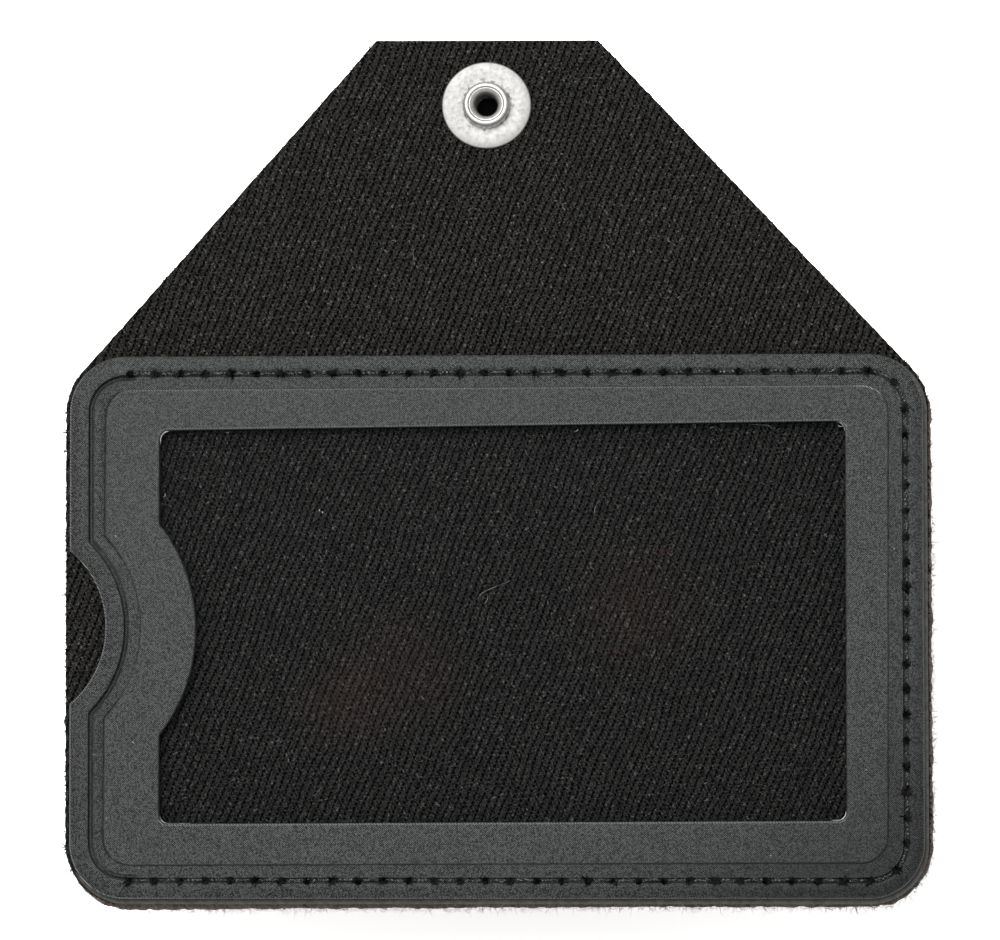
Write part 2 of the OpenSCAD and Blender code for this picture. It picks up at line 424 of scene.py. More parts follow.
@dataclass(frozen=True)
class Twill:
    """Heavy black twill. Its pits and floats are counted on the cloth's own UV map.

    One pit lies in each repeat of the weave, and the floats of warp run between the pits.
    """

    across_per_mm: Point = (1.170, -0.477, 0.0)
    along_per_mm: Point = (0.1125, -2.065, 0.0)
    pit_mm: Span = (0.130, 0.190)
    lean: float = 0.4
    float_gain: float = 0.045
    wale_gain: float = 0.035
    fibre_gain: float = 0.60
    tuft_gain: float = 0.12
    fleck_gain: float = 0.06
    bright_gain: float = 0.37
    pit_gain: float = 0.54
    base: float = 0.042
    stops: tuple[tuple[float, Colour], ...] = (
        (0.0, (0.0004, 0.0004, 0.0004)),
        (0.1, (0.0026, 0.0026, 0.0025)),
        (0.2, (0.0064, 0.0061, 0.0056)),
        (0.35, (0.0168, 0.0161, 0.0148)),
        (0.5, (0.0330, 0.0320, 0.0295)),
        (0.8, (0.0900, 0.0880, 0.0820)),
        (1.0, (0.1800, 0.1770, 0.1680)),
    )

    def material(self) -> bpy.types.Material:
        """Builds the material.

        Returns:
            The finished material.
        """
        s = Shader(Slot.TWILL.value)
        at = s.scaled(s.node("ShaderNodeTexCoord", output="UV"), Cloth.UV_SPAN)
        drift = s.grain(at, 0.12, 2.0) * 1.6
        shake = s.grain(at, 1.3, 1.0)
        across = s.wave(at, self.across_per_mm, drift + shake * 0.30)
        along = s.wave(at, self.along_per_mm, drift + shake * 0.45)
        off_u = across.fract() - 0.5
        off_v = along.fract() - 0.5
        (ax, ay, _), (bx, by, _) = self.across_per_mm, self.along_per_mm
        det = ax * by - ay * bx
        wide, tall = self.pit_mm
        off_y = off_v * (ax / det) - off_u * (bx / det)
        off_x = (off_u * (by / det) - off_v * (ay / det) - off_y * self.lean) / wide
        off_y = off_y / tall
        near = off_x * off_x + off_y * off_y
        luck = s.chance(across, along)
        pit = (1.0 - near.band(0.15, 1.6)) * (luck * 0.5 + 0.7)
        turns = (across * 2.0 - along) * math.tau + math.pi / 2
        floats = turns.sine()
        wales = (across * math.tau + math.pi / 2).sine()
        fibres = s.cells(at, 10.0)
        tufts = s.cells(s.stretched(at, (1.0, 0.8, 1.0)), 5.0)
        flecks = s.grain(at, 1.8, 1.0)
        # Painted shade and glints: the pits are darkened as shade in the weave's hollows, and the
        # sparse bright flecks are painted glints.
        level = (
            floats * self.float_gain + wales * self.wale_gain + fibres * self.fibre_gain
            + tufts * self.tuft_gain + flecks * self.fleck_gain
            + tufts.band(0.88, 1.0) * fibres * self.bright_gain
            - pit * self.pit_gain - self.base
        )
        relief = floats * 0.2 + wales * 0.1 + fibres * 0.5 - pit * 0.9
        return s.dress(
            Base_Color=s.ramp(level, self.stops),
            Roughness=fibres * 0.2 + 0.75,
            Normal=s.bump(relief, 0.1, 0.5),
            Specular_IOR_Level=0.04,
        )


@dataclass(frozen=True)
class ClearFilm:
    """Clear glossy film with faint reddish smudges, each given by its middle and its radii."""

    tint: Colour = (0.0010, 0.0060, 0.0160)
    smudge: Colour = (0.100, 0.050, 0.042)
    alpha: float = 0.04
    top_z: float = 2.9
    smudges: tuple[tuple[float, float, float, float], ...] = (
        (-10.5, -4.5, 11.0, 10.0), (16.0, 2.5, 11.0, 11.0), (-17.0, -9.0, 9.0, 7.0)
    )

    def material(self) -> bpy.types.Material:
        """Builds the material.

        Returns:
            The finished material.
        """
        s = Shader(Slot.FILM.value)
        at = s.place()
        wisps = s.grain(at, 0.22, 3.0, 0.6)
        total: Socket | float = 0.0
        for x, y, wide, tall in self.smudges:
            beside = s.vector("SUBTRACT", at, (x, y, self.top_z))
            off = s.stretched(beside, (1 / wide, 1 / tall, 0.0))
            total = (1.0 - s.vector("LENGTH", off, output="Value").band(0.15, 1.0)) + total
        share = total * (wisps * 0.7 + 0.15)
        marks = s.grain(at, 3.0, 2.0).band(0.66, 0.76)
        return s.dress(
            Base_Color=s.mix(share, self.tint, self.smudge),
            Alpha=share * 0.05 + self.alpha,
            Roughness=marks * 0.2 + 0.2,
            Normal=s.bump(s.grain(at, 0.1, 1.0), 0.1, 0.15),
            Specular_IOR_Level=0.06,
        )


@dataclass(frozen=True)
class FilmEdgeGlint:
    """Painted glints round the window: the squeezed edge of the clear film, coloured near white as
    highlights.
    """

    colour: Colour = (0.92, 0.93, 0.93)

    def material(self) -> bpy.types.Material:
        """Builds the material.

        Returns:
            The finished material.
        """
        s = Shader("clear_film_painted_glint")
        at = s.place()
        # Painted highlight: the film's edge is coloured near white, broken by grey gaps.
        breaks = s.grain(at, 2.4, 2.0).band(0.36, 0.56)
        return s.dress(
            Base_Color=s.mix(breaks, grey(0.35), self.colour),
            Roughness=breaks * 0.1 + 0.12,
            Normal=s.bump(s.grain(at, 3.0), 0.05, 0.5),
            Specular_IOR_Level=0.8,
        )


@dataclass(frozen=True)
class CutSheet:
    """The grey-green cut edge of the spacer."""

    pale: Colour = (0.098, 0.098, 0.088)
    dark: Colour = (0.050, 0.050, 0.045)

    def material(self) -> bpy.types.Material:
        """Builds the material.

        Returns:
            The finished material.
        """
        s = Shader(Slot.EDGE.value)
        at = s.place()
        cut = s.grain(s.stretched(at, (1.0, 1.0, 6.0)), 1.4, 3.0, 0.6)
        return s.dress(
            Base_Color=s.mix(cut.band(0.3, 0.7), self.dark, self.pale),
            Roughness=cut * 0.2 + 0.5,
            Normal=s.bump(cut, 0.06, 0.5),
            Specular_IOR_Level=0.3,
        )


@dataclass(frozen=True)
class SewingThread:
    """Black twisted thread with a low shine, and sparse pale specks on its plies that are painted
    highlights.
    """

    pale: Colour = (0.360, 0.370, 0.385)
    dark: Colour = (0.0040, 0.0040, 0.0045)

    def material(self) -> bpy.types.Material:
        """Builds the material.

        Returns:
            The finished material.
        """
        s = Shader(Slot.THREAD.value)
        at = s.place()
        strands = s.grain(at, 7.0, 3.0, 0.7)
        # Painted highlight: sparse pale specks on the plies.
        return s.dress(
            Base_Color=s.mix(
                strands.band(0.4, 0.62) * s.cells(at, 8.0).band(0.45, 1.0), self.dark, self.pale
            ),
            Roughness=strands * 0.3 + 0.2,
            Normal=s.bump(strands, 0.05, 0.9),
            Specular_IOR_Level=0.35,
        )


@dataclass(frozen=True)
class Fuzz:
    """Loose fibres of one colour, which varies from fibre to fibre."""

    name: str
    pale: Colour
    dark: Colour
    shine: float = 0.15

    def material(self) -> bpy.types.Material:
        """Builds the material.

        Returns:
            The finished material.
        """
        s = Shader(self.name)
        at = s.place()
        share = s.grain(at, 1.6, 2.0).band(0.35, 0.65)
        fine = s.grain(at, 8.0, 1.0)
        return s.dress(
            Base_Color=s.mix(share, self.dark, self.pale),
            Roughness=fine * 0.2 + 0.65,
            Normal=s.bump(fine, 0.02, 0.5),
            Specular_IOR_Level=self.shine,
        )


BLACK_FIBRES = Fuzz("black_fibres", (0.022, 0.021, 0.020), (0.002, 0.002, 0.002), 0.03)
FELT_FIBRES = Fuzz("felt_fibres", (0.62, 0.50, 0.45), (0.10, 0.075, 0.065))
PALE_LINT = Fuzz("pale_lint", (0.55, 0.55, 0.52), (0.16, 0.15, 0.14))
RED_LINT = Fuzz("red_lint", (0.30, 0.06, 0.04), (0.12, 0.03, 0.02))


@dataclass(frozen=True)
class Felt:
    """Brown napped backing, paler where its fibres stand up."""

    stops: tuple[tuple[float, Colour], ...] = (
        (0.0, (0.034, 0.027, 0.024)),
        (0.42, (0.130, 0.103, 0.090)),
        (0.62, (0.290, 0.235, 0.210)),
        (1.0, (0.600, 0.510, 0.475)),
    )

    def material(self) -> bpy.types.Material:
        """Builds the material.

        Returns:
            The finished material.
        """
        s = Shader(Slot.FELT.value)
        at = s.place()
        nap = s.grain(s.stretched(at, (1.0, 0.7, 1.6)), 3.4, 4.0, 0.7)
        lie = s.grain(at, 0.22, 2.0)
        share = nap * 0.8 + lie * 0.3 - 0.05
        return s.dress(
            Base_Color=s.ramp(share, self.stops),
            Roughness=nap * 0.15 + 0.8,
            Normal=s.bump(nap, 0.2, 0.8),
            Specular_IOR_Level=0.1,
        )


@dataclass(frozen=True)
class SatinMetal:
    """Plated sheet metal, satin on the flange, with a painted highlight inside the bead, grey round
    the stud's root that is partly tarnish and partly painted shade, and painted black shade in the
    bore.
    """

    centre: Span = (-1.0, 58.3)
    pale: Colour = (0.400, 0.394, 0.384)
    # The grey round the root is partly tarnish and partly painted shade, the bright colour is a
    # painted highlight, and the black is painted shade in the bore.
    dull_tarnish_and_shade: Colour = (0.150, 0.146, 0.138)
    bead_highlight: Colour = (0.720, 0.710, 0.690)
    black: Colour = (0.0012, 0.0012, 0.0012)
    root_tarnish_and_shade_r: Span = (2.50, 3.35)
    bead_r: Span = (2.54, 2.60)
    bore_r: Span = (1.12, 1.33)
    bore_shade_off: Span = (0.08, -0.16)
    bore_shade_z: Span = (0.20, 0.34)

    def material(self) -> bpy.types.Material:
        """Builds the material.

        Returns:
            The finished material.
        """
        s = Shader(Slot.METAL.value)
        at = s.place()
        x, y = self.centre
        flat = s.stretched(s.vector("SUBTRACT", at, (x, y, 0.0)), (1.0, 1.0, 0.0))
        out = s.vector("LENGTH", flat, output="Value")
        height = s.node("ShaderNodeSeparateXYZ", None, {0: at}, 2)
        # Partly tarnish, partly painted shade: a grey ring round the stud's root.
        near, far = self.root_tarnish_and_shade_r
        ring = (1.0 - out.band(near, far)) * out.band(near - 0.2, near)
        # Painted highlight: inside the bead the metal is mixed towards the bright colour.
        bead = 1.0 - out.band(*self.bead_r)
        # Painted shade: the bore is painted black down to its floor.
        off = s.vector("SUBTRACT", flat, (*self.bore_shade_off, 0.0))
        deep = s.vector("LENGTH", off, output="Value")
        bore = (1.0 - deep.band(*self.bore_r)) * height.band(*self.bore_shade_z)
        mottle = s.grain(at, 2.2, 3.0, 0.6)
        fine = s.grain(at, 9.0, 2.0)
        patches = mottle.band(0.42, 0.66)
        share = ring * (patches * 0.55 + 0.25)
        share = share + mottle.band(0.50, 0.72) * 0.30 + fine.band(0.5, 0.8) * 0.10
        satin = s.mix(share.band(0.0, 1.0), self.pale, self.dull_tarnish_and_shade)
        satin = s.mix(bead * (1.0 - patches * 0.4), satin, self.bead_highlight)
        return s.dress(
            Base_Color=s.mix(bore, satin, self.black),
            Metallic=1.0,
            Roughness=mottle * 0.2 + 0.42,
            Normal=s.bump(fine * 0.5 + mottle * 0.5, 0.03, 0.5),
        )


# Mesh building


def link_mesh(mesh: bpy.types.Mesh, name: str, smooth_deg: float | None) -> bpy.types.Object:
    """Puts a mesh into the scene as an object at the origin.

    Args:
        mesh: The finished mesh, in metres.
        name: The piece's name.
        smooth_deg: Edges below this angle are shaded smooth. None leaves all flat.

    Returns:
        The object.
    """
    mesh.name = name
    if smooth_deg is not None:
        mesh.polygons.foreach_set("use_smooth", [True] * len(mesh.polygons))
        mesh.set_sharp_from_angle(angle=math.radians(smooth_deg))
    piece = bpy.data.objects.new(name, mesh)
    bpy.context.scene.collection.objects.link(piece)
    return piece


def close_mesh(bm: bmesh.types.BMesh, name: str, smooth_deg: float | None) -> bpy.types.Object:
    """Turns a closed bmesh in millimetres into an object in metres, with faces outwards.

    Args:
        bm: The bmesh, which is used up.
        name: The piece's name.
        smooth_deg: Edges below this angle are shaded smooth. None leaves all flat.

    Returns:
        The object.
    """
    bmesh.ops.remove_doubles(bm, verts=bm.verts[:], dist=1e-5)
    bmesh.ops.recalc_face_normals(bm, faces=bm.faces[:])
    bmesh.ops.scale(bm, vec=Vector((MM, MM, MM)), verts=bm.verts[:])
    mesh = bpy.data.meshes.new(name)
    bm.to_mesh(mesh)
    bm.free()
    return link_mesh(mesh, name, smooth_deg)


def settle(
    piece: bpy.types.Object,
    body: Body,
    material: bpy.types.Material,
    replaces: Iterable[str] = (),
) -> bpy.types.Object:
    """Gives a piece its finish and its body.

    Args:
        piece: The piece, at the origin.
        body: The body that it rides on.
        material: Its material.
        replaces: The nodes that it stands for.

    Returns:
        The piece.
    """
    piece.data.materials.clear()
    piece.data.materials.append(material)
    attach(piece, body.value)
    if nodes := list(replaces):
        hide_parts(*nodes)
    LOG.info("%s: %d faces", piece.name, len(piece.data.polygons))
    return piece


def pierce(
    solid: bpy.types.Object, cutters: bmesh.types.BMesh, name: str, smooth_deg: float
) -> bpy.types.Object:
    """Cuts holes into a solid.

    Args:
        solid: The solid, which is used up.
        cutters: Closed shapes in millimetres, which are used up.
        name: The new piece's name.
        smooth_deg: Edges below this angle are shaded smooth.

    Returns:
        The pierced piece.
    """
    tool = close_mesh(cutters, name + "_cutters", None)
    cut = solid.modifiers.new("holes", "BOOLEAN")
    cut.operation = "DIFFERENCE"
    cut.solver = "EXACT"
    cut.object = tool
    bpy.context.view_layer.update()
    graph = bpy.context.evaluated_depsgraph_get()
    mesh = bpy.data.meshes.new_from_object(
        solid.evaluated_get(graph), preserve_all_data_layers=True, depsgraph=graph
    )
    bpy.data.objects.remove(solid)
    bpy.data.objects.remove(tool)
    return link_mesh(mesh, name, smooth_deg)


def mixed_ring(
    first: Sequence[Vector], second: Sequence[Vector], share: Callable[[Vector], float]
) -> list[Vector]:
    """A ring between two others, by a share that depends on the place."""
    return [a.lerp(b, share(a)) for a, b in zip(first, second)]


def ramp_between(value: float, low: float, high: float) -> float:
    """How far a value lies from low to high, kept from 0 to 1."""
    return min(max((value - low) / (high - low), 0.0), 1.0)


def stray(rng: random.Random, flat: float, low: float, high: float) -> Vector:
    """A random vector, within flat along X and Y and from low to high along Z."""
    return Vector((rng.uniform(-flat, flat), rng.uniform(-flat, flat), rng.uniform(low, high)))


def outward(ring: Sequence[Vector], i: int) -> Vector:
    """The level unit vector out of an anticlockwise ring at one of its points."""
    along = ring[(i + 1) % len(ring)] - ring[i - 1]
    return Vector((along.y, -along.x, 0.0)).normalized()


def askew(
    ring: list[Vector],
    box: tuple[float, float, float, float],
    shifts: Sequence[tuple[float, float]],
) -> list[Vector]:
    """Moves a ring's corners a little, as on a part that was pressed or cut askew.

    Args:
        ring: The ring, which is changed.
        box: Left, right, low and high of the straight shape.
        shifts: How the upper left, upper right, lower left and lower right corners move.

    Returns:
        The ring.
    """
    left, right, low, high = box
    (ax, ay), (bx, by), (cx, cy), (dx, dy) = shifts
    for p in ring:
        u = ramp_between(p.x, left, right)
        v = ramp_between(p.y, low, high)
        top = (ax + (bx - ax) * u, ay + (by - ay) * u)
        bottom = (cx + (dx - cx) * u, cy + (dy - cy) * u)
        p.x += bottom[0] + (top[0] - bottom[0]) * v
        p.y += bottom[1] + (top[1] - bottom[1]) * v
    return ring


@dataclass(frozen=True)
class Outline:
    """A rounded rectangle, with a round bite out of its left side if bite_r is given.

    The radius stays above zero, because corners below it would cross themselves.
    """

    left: float
    right: float
    low: float
    high: float
    radius: float
    bite_x: float = 0.0
    bite_r: float = 0.0
    plain_half: float = 9.0
    arc_steps: int = 14
    long_steps: int = 60
    short_steps: int = 40
    left_steps: int = 14
    bite_steps: int = 40

    def ring(self, z: float) -> list[Vector]:
        """The outline's points, anticlockwise from the right side's upper end.

        Args:
            z: Their height.

        Returns:
            The points.
        """
        r = self.radius
        reach = self.left - self.bite_x
        bitten = self.bite_r > 0
        half = math.sqrt(self.bite_r**2 - reach**2) if bitten else self.plain_half
        points: list[tuple[float, float]] = []
        self._arc(points, self.right - r, self.high - r, r, 0.0, 90.0, self.arc_steps)
        self._line(points, (self.left + r, self.high), self.long_steps)
        self._arc(points, self.left + r, self.high - r, r, 90.0, 180.0, self.arc_steps)
        self._line(points, (self.left, half), self.left_steps)
        if bitten:
            turn = math.degrees(math.atan2(half, reach))
            self._arc(points, self.bite_x, 0.0, self.bite_r, turn, -turn, self.bite_steps)
        else:
            points.append((self.left, half))
            self._line(points, (self.left, -half), self.bite_steps)
            points.append((self.left, -half))
        self._line(points, (self.left, self.low + r), self.left_steps)
        self._arc(points, self.left + r, self.low + r, r, 180.0, 270.0, self.arc_steps)
        self._line(points, (self.right - r, self.low), self.long_steps)
        self._arc(points, self.right - r, self.low + r, r, 270.0, 360.0, self.arc_steps)
        self._line(points, (self.right, self.high - r), self.short_steps)
        return [Vector((x, y, z)) for x, y in points]

    @staticmethod
    def _arc(
        points: list[tuple[float, float]],
        x: float,
        y: float,
        r: float,
        start: float,
        end: float,
        steps: int,
    ) -> None:
        """Adds the points of an arc, both ends included but for a point already there.

        Args:
            points: The points so far, which are added to.
            x: The centre's x.
            y: The centre's y.
            r: The radius.
            start: The angle of the first end, in degrees.
            end: The angle of the second end.
            steps: How many chords the arc has.
        """
        first = 0
        if points and math.dist(points[-1], _on_circle(x, y, r, start)) < 1e-6:
            first = 1
        for i in range(first, steps + 1):
            points.append(_on_circle(x, y, r, start + (end - start) * i / steps))

    @staticmethod
    def _line(points: list[tuple[float, float]], end: tuple[float, float], steps: int) -> None:
        """Adds the inner points of a straight.

        Args:
            points: The points so far, of which the last is its start.
            end: Where it ends. That point itself isn't added.
            steps: How many parts the straight has.
        """
        x0, y0 = points[-1]
        for i in range(1, steps):
            share = i / steps
            points.append((x0 + (end[0] - x0) * share, y0 + (end[1] - y0) * share))


def _on_circle(x: float, y: float, r: float, degrees: float) -> tuple[float, float]:
    """A point on a circle."""
    a = math.radians(degrees)
    return (x + r * math.cos(a), y + r * math.sin(a))


FINE_STEPS = {
    "arc_steps": 30, "long_steps": 190, "short_steps": 110, "left_steps": 40, "bite_steps": 50
}


class Loft:
    """A skin that grows from ring to ring by extruding the last ring's edges."""

    def __init__(self, ring: Sequence[Vector]) -> None:
        """Starts the skin.

        Args:
            ring: The first ring's points.
        """
        self.bm = bmesh.new()
        self.wear = self.bm.verts.layers.float.new(WEAR_AND_HIGHLIGHT)
        self.last = [self.bm.verts.new(p) for p in ring]
        self.first = list(self.last)
        count = len(ring)
        self.edges = [
            self.bm.edges.new((self.last[i], self.last[(i + 1) % count])) for i in range(count)
        ]
        self.first_edges = list(self.edges)

    def to(
        self, ring: Sequence[Vector], wear: float | Callable[[Vector], float] = 0.0
    ) -> "Loft":
        """Extrudes the last ring to a new one with as many points.

        Args:
            ring: The new ring's points.
            wear: How much wear and painted highlight the surface has there, from 0 to 1, for the ring
                or by place.

        Returns:
            The skin.
        """
        grown = bmesh.ops.extrude_edge_only(self.bm, edges=self.edges)["geom"]
        fresh = {g for g in grown if isinstance(g, bmesh.types.BMVert)}
        after = []
        for old, point in zip(self.last, ring):
            new = next(e.other_vert(old) for e in old.link_edges if e.other_vert(old) in fresh)
            new.co = point
            new[self.wear] = wear(point) if callable(wear) else wear
            after.append(new)
        self.last = after
        count = len(after)
        self.edges = [
            self.bm.edges.get((after[i], after[(i + 1) % count])) for i in range(count)
        ]
        return self

    def join(self) -> "Loft":
        """Bridges the last ring back to the first."""
        bmesh.ops.bridge_loops(self.bm, edges=self.edges + self.first_edges)
        return self

    def cap(self) -> "Loft":
        """Fills the first ring and the last.

        Returns:
            The loft itself.
        """
        bmesh.ops.contextual_create(self.bm, geom=self.first_edges)
        bmesh.ops.contextual_create(self.bm, geom=self.edges)
        return self


class Strands:
    """A bundle of fibres or plies, drawn as thin tubes."""

    def __init__(self, name: str, radius: float, sides: int = 0) -> None:
        """Starts an empty bundle.

        Args:
            name: The piece's name.
            radius: A fibre's radius in millimetres, which each point may scale.
            sides: The tube's bevel resolution, where 0 gives four sides.
        """
        self.curve = bpy.data.curves.new(name, "CURVE")
        self.curve.dimensions = "3D"
        self.curve.bevel_depth = radius * MM
        self.curve.bevel_resolution = sides
        self.curve.use_fill_caps = True
        self.name = name

    def add(self, points: Sequence[Vector], widths: Sequence[float] | None = None) -> None:
        """Adds one fibre.

        Args:
            points: Its points in millimetres.
            widths: A share of the bundle's radius for each point.
        """
        spline = self.curve.splines.new("POLY")
        spline.points.add(len(points) - 1)
        for i, point in enumerate(points):
            spline.points[i].co = (*(point * MM), 1.0)
            spline.points[i].radius = widths[i] if widths else 1.0

    def fibre(self, points: Sequence[Vector], width: float, third: float, end: float) -> None:
        """Adds a loose fibre of four points, which thins to shares third and end of its width."""
        self.add(points, [width, width, width * third, width * end])

    def piece(self) -> bpy.types.Object:
        """Turns the bundle into a mesh.

        Returns:
            The mesh object.
        """
        holder = bpy.data.objects.new(self.name + "_curve", self.curve)
        bpy.context.scene.collection.objects.link(holder)
        bpy.context.view_layer.update()
        graph = bpy.context.evaluated_depsgraph_get()
        mesh = bpy.data.meshes.new_from_object(holder.evaluated_get(graph))
        bpy.data.objects.remove(holder)
        return link_mesh(mesh, self.name, 60.0)


def curl(
    rng: random.Random, start: Vector, way: Vector, length: float, bend: float
) -> list[Vector]:
    """The points of a loose fibre.

    Args:
        rng: The seeded source of chance.
        start: Where the fibre leaves the cloth.
        way: The direction in which it sets out.
        length: Its length in millimetres.
        bend: How far it strays, as a share of its length.

    Returns:
        Four points.
    """
    way = way.normalized()
    aside = stray(rng, 1.0, -0.6, 0.6) * bend
    back = stray(rng, 1.0, -0.6, 0.6) * bend
    return [
        start,
        start + way * length * 0.35,
        start + (way + aside) * length * 0.7,
        start + (way + aside * 1.4 + back) * length,
    ]


# The wallet's parts


@dataclass
class MouldedFrame:
    """The frame sewn on the front: rim, sewing groove, raised border, window and notch.

    Its section is given by rings. The shoulder's and the lip's hold an inset, a drop below the
    surface and the wear and painted highlight there. The groove's hold an inset and a drop where it
    is sewn, each followed by the same where it is empty, in the order inset, inset, drop, drop,
    wear and painted highlight. The step's hold a distance inside the border's edge, the share of
    its rise on the right and on the left, and the wear and painted highlight.
    """

    width: float = 95.0
    height: float = 60.4
    corner_r: float = 6.2
    under_z: float = 2.6
    rim_z: float = 3.8
    border_z: float = 4.1
    film_z: float = 2.9
    border_inset: float = 3.75
    border_r: float = 3.0
    notch_x: float = -54.6
    notch_r: float = 11.1
    bulge_x: float = -52.75
    bulge_r: float = 19.3
    window: tuple[float, float, float, float] = (-37.55, 38.75, -21.85, 22.45)
    window_r: float = 0.9
    film_lap: float = 3.2
    hole_r: float = 0.40
    cutter_z: float = 3.2
    plateau_rings: int = 5
    window_shift: tuple[tuple[float, float], ...] = (
        (0.12, -0.53), (0.12, 0.25), (0.10, -0.02), (0.10, 0.28)
    )
    border_shift: tuple[tuple[float, float], ...] = (
        (0.37, 0.0), (-0.13, 0.22), (0.17, 0.0), (-0.36, 0.27)
    )
    closed_x: Span = (-41.4, -40.6)
    gutter_x: Span = (-41.5, -43.0)
    shoulder: tuple[Point, ...] = (
        (0.0, 0.50, 0.0), (0.02, 0.30, 0.2), (0.07, 0.21, 0.9), (0.14, 0.17, 0.4),
        (0.24, 0.15, 0.0), (0.55, 0.095, 0.0), (0.95, 0.025, 0.0),
    )
    groove: tuple[tuple[float, float, float, float, float], ...] = (
        (1.35, 1.55, 0.00, 0.00, 0.0), (1.60, 2.02, 0.02, 0.00, 0.0),
        (1.74, 2.09, 0.06, 0.01, 0.0), (1.82, 2.13, 0.14, 0.03, 0.0),
        (1.88, 2.15, 0.25, 0.12, 0.0), (1.93, 2.16, 0.40, 0.60, 0.0),
        (1.99, 2.17, 0.50, 0.85, 0.0), (2.24, 2.30, 0.52, 0.87, 0.0),
        (2.27, 2.38, 0.65, 0.87, 0.0), (2.36, 2.43, 0.65, 0.85, 0.0),
        (2.37, 2.44, 0.20, 0.35, 0.0), (2.39, 2.46, 0.04, 0.08, 0.6),
        (2.42, 2.49, 0.00, 0.06, 0.3), (2.48, 2.54, 0.00, 0.34, 0.0),
        (2.58, 2.66, 0.00, 0.36, 0.0), (2.70, 2.76, 0.00, 0.00, 0.0),
    )
    step: tuple[tuple[float, float, float, float], ...] = (
        (-0.22, 0.0, 0.0, 0.0), (-0.16, 0.0, -0.10, 0.0), (-0.11, 0.0, -0.65, 0.0),
        (-0.04, 0.08, -0.65, 0.0), (0.0, 0.35, 0.3, 0.1), (0.04, 0.8, 0.8, 0.6),
        (0.09, 0.97, 0.97, 1.0), (0.15, 1.0, 1.0, 0.3), (0.22, 1.0, 1.0, 0.0),
    )
    lip: tuple[Point, ...] = (
        (-0.17, 0.005, 0.3), (-0.08, 0.03, 0.7), (-0.02, 0.11, 0.3), (0.0, 0.22, 0.0)
    )
    lip_start: float = -0.26

    def outline(self, inset: float, radius: float | None = None) -> Outline:
        """The frame's outline drawn in by an inset.

        Args:
            inset: How far it is drawn in.
            radius: Its corner radius, if the inset doesn't give it.

        Returns:
            The outline.
        """
        x, y = self.width / 2 - inset, self.height / 2 - inset
        r = self.corner_r - inset if radius is None else radius
        return Outline(-x, x, -y, y, r, self.notch_x, self.notch_r + inset)

    def opening(self, inset: float, z: float) -> list[Vector]:
        """The window's ring, drawn into the opening by an inset.

        The real window was cut a little askew, so each corner is moved by window_shift.

        Args:
            inset: How far it is drawn in.
            z: Its height.

        Returns:
            The ring.
        """
        left, right, low, high = self.window
        ring = Outline(
            left + inset, right - inset, low + inset, high - inset,
            max(self.window_r - inset, 0.2), self.bulge_x, self.bulge_r + inset,
        ).ring(z)
        return askew(ring, self.window, self.window_shift)

    def corner(self, upper: bool, left: bool) -> Vector:
        """A corner of the window.

        Args:
            upper: True for an upper corner.
            left: True for a left corner.

        Returns:
            The corner, at height zero.
        """
        x0, x1, y0, y1 = self.window
        dx, dy = self.window_shift[(0 if left else 1) if upper else (2 if left else 3)]
        return Vector(((x0 if left else x1) + dx, (y1 if upper else y0) + dy, 0.0))

    def seat(self) -> Outline:
        """The recess that the film lies in.

        Returns:
            Its outline.
        """
        left, right, low, high = self.window
        lap = self.film_lap
        return Outline(left - lap, right + lap, low - lap, high + lap, self.window_r + lap)

    @staticmethod
    def _lip_wear_and_highlight(point: Vector) -> float:
        """How much wear and painted highlight the window's lip gets: along the top and the bottom."""
        return 0.1 + 0.9 * ramp_between(abs(point.y), 20.5, 21.5)

    @staticmethod
    def _edge_wear_and_highlight(point: Vector) -> float:
        """How much wear and painted highlight the rim's outer edge gets: most on the left and least
        along the top.

        Args:
            point: A point of the edge.

        Returns:
            The wear and painted highlight there.
        """
        below = ramp_between(point.y, -27.0, -29.5) * ramp_between(point.x, -42.0, -30.0)
        low = 0.45 * max(ramp_between(point.x, 35.0, 47.0), below)
        return 1.0 - 0.85 * ramp_between(point.y, 27.0, 29.0) - low

    def _sewn(self, point: Vector) -> float:
        """1 where the groove holds stitches, 0 where it is empty."""
        return ramp_between(point.x, *self.closed_x)

    def _step(self, off: float, z: float) -> list[Vector]:
        """A ring of the raised border's edge.

        Args:
            off: How far it lies inside the edge.
            z: Its height.

        Returns:
            The ring.
        """
        edge = self.border_inset
        x, y = self.width / 2 - edge, self.height / 2 - edge
        ring = self.outline(edge + off, self.border_r - off).ring(z)
        return askew(ring, (-x, x, -y, y), self.border_shift)

    @staticmethod
    def _step_wear_and_highlight(point: Vector) -> float:
        """How much wear and painted highlight the border's edge gets: along the top, and most at its
        right end.

        Args:
            point: A point of the edge.

        Returns:
            The wear and painted highlight there.
        """
        top = ramp_between(point.y, 25.2, 26.2)
        arc = ramp_between(point.x, 40.5, 41.0) * ramp_between(point.x, 42.8, 42.2)
        return 0.08 + 0.6 * top + 1.8 * arc * ramp_between(point.y, 24.8, 25.6)

